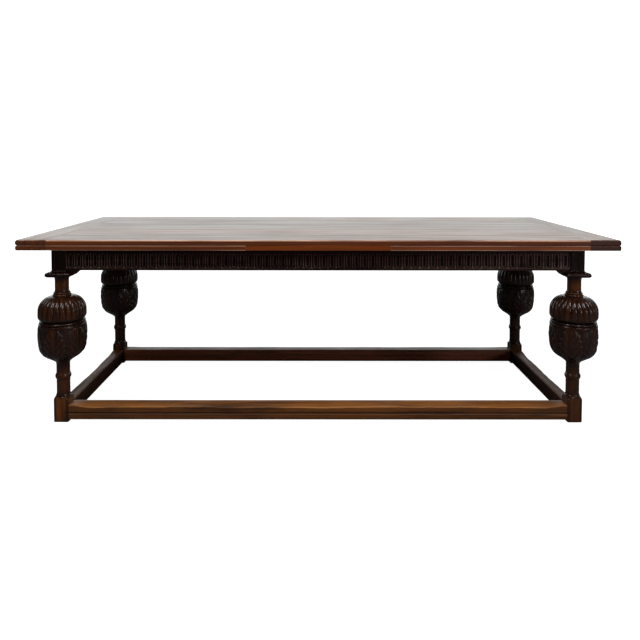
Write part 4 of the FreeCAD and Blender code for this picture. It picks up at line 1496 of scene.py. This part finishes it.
@dataclass(frozen=True)
class Studio:
    """Camera, floor and lights; lengths in metres and angles in degrees."""

    eye: Spot = (-0.0111, -2.809, 1.091)
    pitch: float = 2.302
    yaw: float = 0.011
    roll: float = 0.046
    photo_pixels: float = 640
    sensor_width: float = 36.0
    focal_pixels: float = 591.2
    centre_x: float = 315.6
    centre_y: float = 184.0
    floor_size: float = 60.0
    floor_shade: float = 0.2
    floor_glow: float = 0.98
    far_glow: float = 0.4
    far_run: Place = (1.5, 6.0)
    sky: float = 0.09
    backdrop: float = 1.05
    lamps: tuple[Lamp, ...] = (
        Lamp("key_left", (-1.5, -1.9, 3.1), (-0.3, -0.3, 0.4), (0.5, 1.7), 78.0),
        Lamp("key_right", (1.3, -1.9, 3.1), (0.3, -0.3, 0.4), (0.5, 1.7), 93.6),
        Lamp("side", (3.2, -3.0, 1.0), (0.3, 0.0, 0.5), (0.7, 0.7), 30.0),
        Lamp("panel", (0.0, 7.0, 2.3), (0.0, 0.0, 1.6), (20.0, 4.2), 435.0, (0.93, 1.0, 0.985)),
    )

    def camera(self) -> None:
        """Sets the camera where the photograph was taken."""
        data = bpy.data.cameras.new("camera")
        data.sensor_width = self.sensor_width
        data.lens = self.focal_pixels / self.photo_pixels * self.sensor_width
        data.shift_x = (self.photo_pixels / 2 - self.centre_x) / self.photo_pixels
        data.shift_y = (self.centre_y - self.photo_pixels / 2) / self.photo_pixels
        pitch, yaw, roll = (math.radians(angle) for angle in (self.pitch, self.yaw, self.roll))
        ahead = Vector((math.sin(yaw) * math.cos(pitch), math.cos(yaw) * math.cos(pitch), -math.sin(pitch)))
        right = Vector((math.cos(yaw), -math.sin(yaw), 0.0))
        up = right.cross(ahead)
        tilted = right * math.cos(roll) + up * math.sin(roll)
        upright = up * math.cos(roll) - right * math.sin(roll)
        turn = Matrix((tilted, upright, -ahead)).transposed().to_4x4()
        camera = bpy.data.objects.new("camera", data)
        camera.matrix_world = Matrix.Translation(self.eye) @ turn
        bpy.context.scene.collection.objects.link(camera)
        bpy.context.scene.camera = camera

    def floor(self) -> None:
        """Lays a plain pale floor that looks white and throws little light back."""
        clear_selection()
        bpy.ops.mesh.primitive_plane_add(size=self.floor_size, location=(0.0, 0.0, 0.0))
        ground = bpy.context.active_object
        ground.name = "floor"
        graph = Graph("pale_floor")
        away = graph.add("VectorMath", {"operation": "LENGTH"})
        graph.feed(away.inputs[0], graph.add("TexCoord").outputs["Object"])
        seen = graph.add("LightPath").outputs["Is Camera Ray"]
        glow = graph.times(graph.spread(away.outputs["Value"], self.far_run), self.far_glow)
        glow = graph.times(graph.maths("ADD", glow, self.floor_glow), seen)
        ground.data.materials.append(graph.shade(
            Base_Color=(*[self.floor_shade] * 3, 1.0), Roughness=0.9, Specular_IOR_Level=0.1,
            Emission_Color=(1.0, 1.0, 1.0, 1.0), Emission_Strength=glow))
        ground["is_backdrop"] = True

    def lights(self) -> None:
        """Hangs soft lamps over the table, a wide panel behind it and a pale sky all round."""
        world = bpy.data.worlds.new("sky")
        world.use_nodes = True
        tree = world.node_tree
        path = tree.nodes.new("ShaderNodeLightPath")
        level = tree.nodes.new("ShaderNodeMapRange")
        level.inputs["To Min"].default_value = self.sky
        level.inputs["To Max"].default_value = self.backdrop
        tree.links.new(path.outputs["Is Camera Ray"], level.inputs["Value"])
        tree.links.new(level.outputs[0], tree.nodes["Background"].inputs[1])
        tree.nodes["Background"].inputs[0].default_value = (1.0, 1.0, 1.0, 1.0)
        bpy.context.scene.world = world
        for lamp in self.lamps:
            lamp.hang()


@dataclass(frozen=True)
class Span:
    """Where a bar of the frame lies between its two legs, in metres."""

    half_clear: float
    middle: float
    outer: float
    bottom: float
    top: float


def span(node: str, side: Side, tenon: float) -> Span:
    """Measures a bar of the frame without its tenons.

    Args:
        node: The frame's node.
        side: The side that it stands at.
        tenon: Length of each tenon.

    Returns:
        Where it lies.
    """
    low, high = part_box(node)
    along, across = (0, 1) if side.is_long() else (1, 0)
    return Span((high[along] - low[along]) / 2 - tenon, abs(low[across] + high[across]) / 2,
                max(abs(low[across]), abs(high[across])), low.z, high.z)


class Table:
    """The whole table: builds its pieces, dresses them and hands them to their bodies."""

    FLUTES = {Side.FRONT: 60, Side.REAR: 60, Side.LEFT: 18, Side.RIGHT: 18}
    FLUTE_DRIFT = -36 * MM
    LEG_TURNS = {"front_right": 90, "rear_right": 180, "rear_left": 270}
    # Room round the lopers where they run through an end rail, and above it
    LOPER_ROOM = Vector((20 * MM, 0.5 * MM, 0.3 * MM))
    OPEN_TOP = 10 * MM
    REAR_DROP = 1.6 * MM
    # Painted shade on the inner faces of the end stretchers
    END_INNER_SHADE = 0.95
    ROUND_EDGE = 4.6 * MM
    EASED_EDGE = 2.2 * MM
    # Arris marks of each layer paint wear with a reflection in the pale worn colour, and darken below zero
    LEAF_WEAR = (0.3, 0.55)
    LAYERS = (Layer("top", 5, ("_left", "_right"), ROUND_EDGE, EASED_EDGE, (0.66, -0.9)),
              Layer("left_leaf", 3, ("",), EASED_EDGE, EASED_EDGE, LEAF_WEAR),
              Layer("right_leaf", 3, ("",), EASED_EDGE, EASED_EDGE, LEAF_WEAR))
    # Boards differ in tone by this share, in a sequence that doesn't repeat
    TONE_SHARE = 0.14
    TONE_PACE = 2.3
    CLEAT_SEED = 20.0

    def __init__(self) -> None:
        """Loads the frame and keeps its box."""
        self.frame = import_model()
        self.cad_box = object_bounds()
        self.materials: dict[OakFinish, bpy.types.Material] = {}

    def dress(self, piece: Piece, finish: OakFinish) -> None:
        """Puts one finish on a whole piece.

        Args:
            piece: The piece.
            finish: Its finish.
        """
        if finish not in self.materials:
            self.materials[finish] = finish.material()
        piece.data.materials.clear()
        piece.data.materials.append(self.materials[finish])
        LOG.info("%s: %d faces in %s", piece.name, len(piece.data.polygons), finish.name)

    def stand_for(self, piece: Piece, node: str, body: str, finish: OakFinish) -> None:
        """Lets a modelled piece take the place of a node of the frame.

        Args:
            piece: The piece.
            node: The node that it stands for.
            body: The body that it rides on.
            finish: Its finish.
        """
        self.dress(piece, finish)
        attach(piece, body)
        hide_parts(node)

    def build_legs(self) -> None:
        """Carves one leg and sets turned copies of it at the other corners."""
        axis = middle_of("leg_front_left")
        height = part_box("leg_front_left")[1].z / MM
        first = CarvedLeg(axis.x, axis.y, height).build("carved_leg_front_left")
        legs = {"leg_front_left": first}
        for corner, degrees in self.LEG_TURNS.items():
            node = f"leg_{corner}"
            turn = Matrix.Translation(middle_of(node)) @ Matrix.Rotation(math.radians(degrees), 4, "Z")
            legs[node] = turned_copy(first, f"carved_{node}", turn @ Matrix.Translation(-axis))
        for node, leg in legs.items():
            self.stand_for(leg, node, "frame", LEG_OAK if leg is first else DARK_LEG_OAK)

    def build_rails(self) -> None:
        """Carves the two long frieze rails and the two end rails."""
        for side, count in self.FLUTES.items():
            node = f"{side.name.lower()}_rail"
            room = span(node, side, FlutedRail.TENON)
            drift = self.FLUTE_DRIFT if side.is_long() else 0.0
            shape = FlutedRail(room.half_clear, room.outer, room.bottom, room.top, count, drift)
            rail = shape.build(f"fluted_{node}", side)
            if not side.is_long():
                self.notch_for_lopers(rail, side)
            self.stand_for(rail, node, "frame", RAIL_OAK if side.is_long() else END_RAIL_OAK)

    def notch_for_lopers(self, rail: Piece, side: Side) -> None:
        """Cuts the seats of a leaf's lopers into its end rail.

        Args:
            rail: The end rail.
            side: The end that it stands at.
        """
        end = side.name.lower()
        rail_low, rail_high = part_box(f"{end}_rail")
        for place in ("front", "rear"):
            low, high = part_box(f"{end}_loper_{place}")
            seat_low = Vector((rail_low.x, low.y, low.z)) - self.LOPER_ROOM
            seat_high = Vector((rail_high.x, high.y, rail_high.z + self.OPEN_TOP)) + self.LOPER_ROOM
            notch(rail, seat_low, seat_high)
        close(rail)

    def build_stretchers(self) -> None:
        """Shapes the four worn stretchers."""
        for seed, side in enumerate(Side, start=3):
            node = f"{side.name.lower()}_stretcher"
            room = span(node, side, WornStretcher.TENON)
            shape = WornStretcher(room.half_clear, room.middle, room.bottom, room.top, seed)
            finish = STRETCHER_OAK
            if side is Side.REAR:
                shape.drop = self.REAR_DROP
                # No painted shade on the rear stretcher's inner face
                shape.inner_face_shade = 0.0
                # The rear stretcher takes the tone painted lighter as painted light
                finish = REAR_STRETCHER_LIT_OAK
            elif not side.is_long():
                shape.inner_face_shade = self.END_INNER_SHADE
                finish = END_STRETCHER_OAK
            self.stand_for(shape.build(f"worn_{node}", side), node, "frame", finish)

    def build_top(self) -> None:
        """Shapes the boards and cleats of the top and the leaves, and the edge fillers."""
        planks = PlankTop(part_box("top_cleat_right")[0].x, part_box("front_edge_filler")[1].x)
        for layer in self.LAYERS:
            tag = len(layer.body)
            for number in range(1, layer.boards + 1):
                node = f"{layer.body}_board_{number}"
                front = layer.upper if number == 1 else planks.seam
                rear = layer.upper if number == layer.boards else planks.seam
                lower = layer.lower if number in (1, layer.boards) else planks.seam
                tone = 1 + self.TONE_SHARE * math.sin(number * self.TONE_PACE + tag)
                finish = TOP_OAK.toned(tone, name=f"{node}_oak", seed=float(number + tag))
                board = planks.board(node, front, rear, lower, layer.wear)
                self.stand_for(board, node, layer.body, finish)
            for index, end in enumerate(layer.cleats):
                node = f"{layer.body}_cleat{end}"
                seed = self.CLEAT_SEED + index + tag
                finish = replace(TOP_OAK, name=f"{node}_oak", grain=GrainAxis.ACROSS, seed=seed)
                cleat = planks.cleat(node, layer.upper, layer.lower, layer.wear)
                self.stand_for(cleat, node, layer.body, finish)
        for node, seed in (("front_edge_filler", 4.0), ("rear_edge_filler", 8.0)):
            finish = replace(EDGE_OAK, name=f"{node}_oak", seed=seed)
            self.stand_for(planks.filler(node, self.EASED_EDGE), node, "top", finish)

    def dress_nodes(self) -> None:
        """Gives the frame's own nodes that stay in view their finish."""
        for name, node in self.frame["nodes"].items():
            if node.hide_render:
                continue
            finish = LEG_OAK if "bracket" in name else PEG_OAK if "pegs" in name else INNER_OAK
            self.dress(node, finish)

    def write_sizes(self) -> None:
        """Brings the view layer up to date."""
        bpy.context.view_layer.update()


def main() -> None:
    """Builds the table and its studio."""
    logging.basicConfig(level=logging.INFO, format="%(name)s: %(message)s")
    bpy.context.scene.view_settings.view_transform = "Standard"
    table = Table()
    table.build_legs()
    table.build_rails()
    table.build_stretchers()
    table.build_top()
    table.dress_nodes()
    studio = Studio()
    studio.camera()
    studio.floor()
    studio.lights()
    table.write_sizes()


if __name__ == "__main__":
    main()
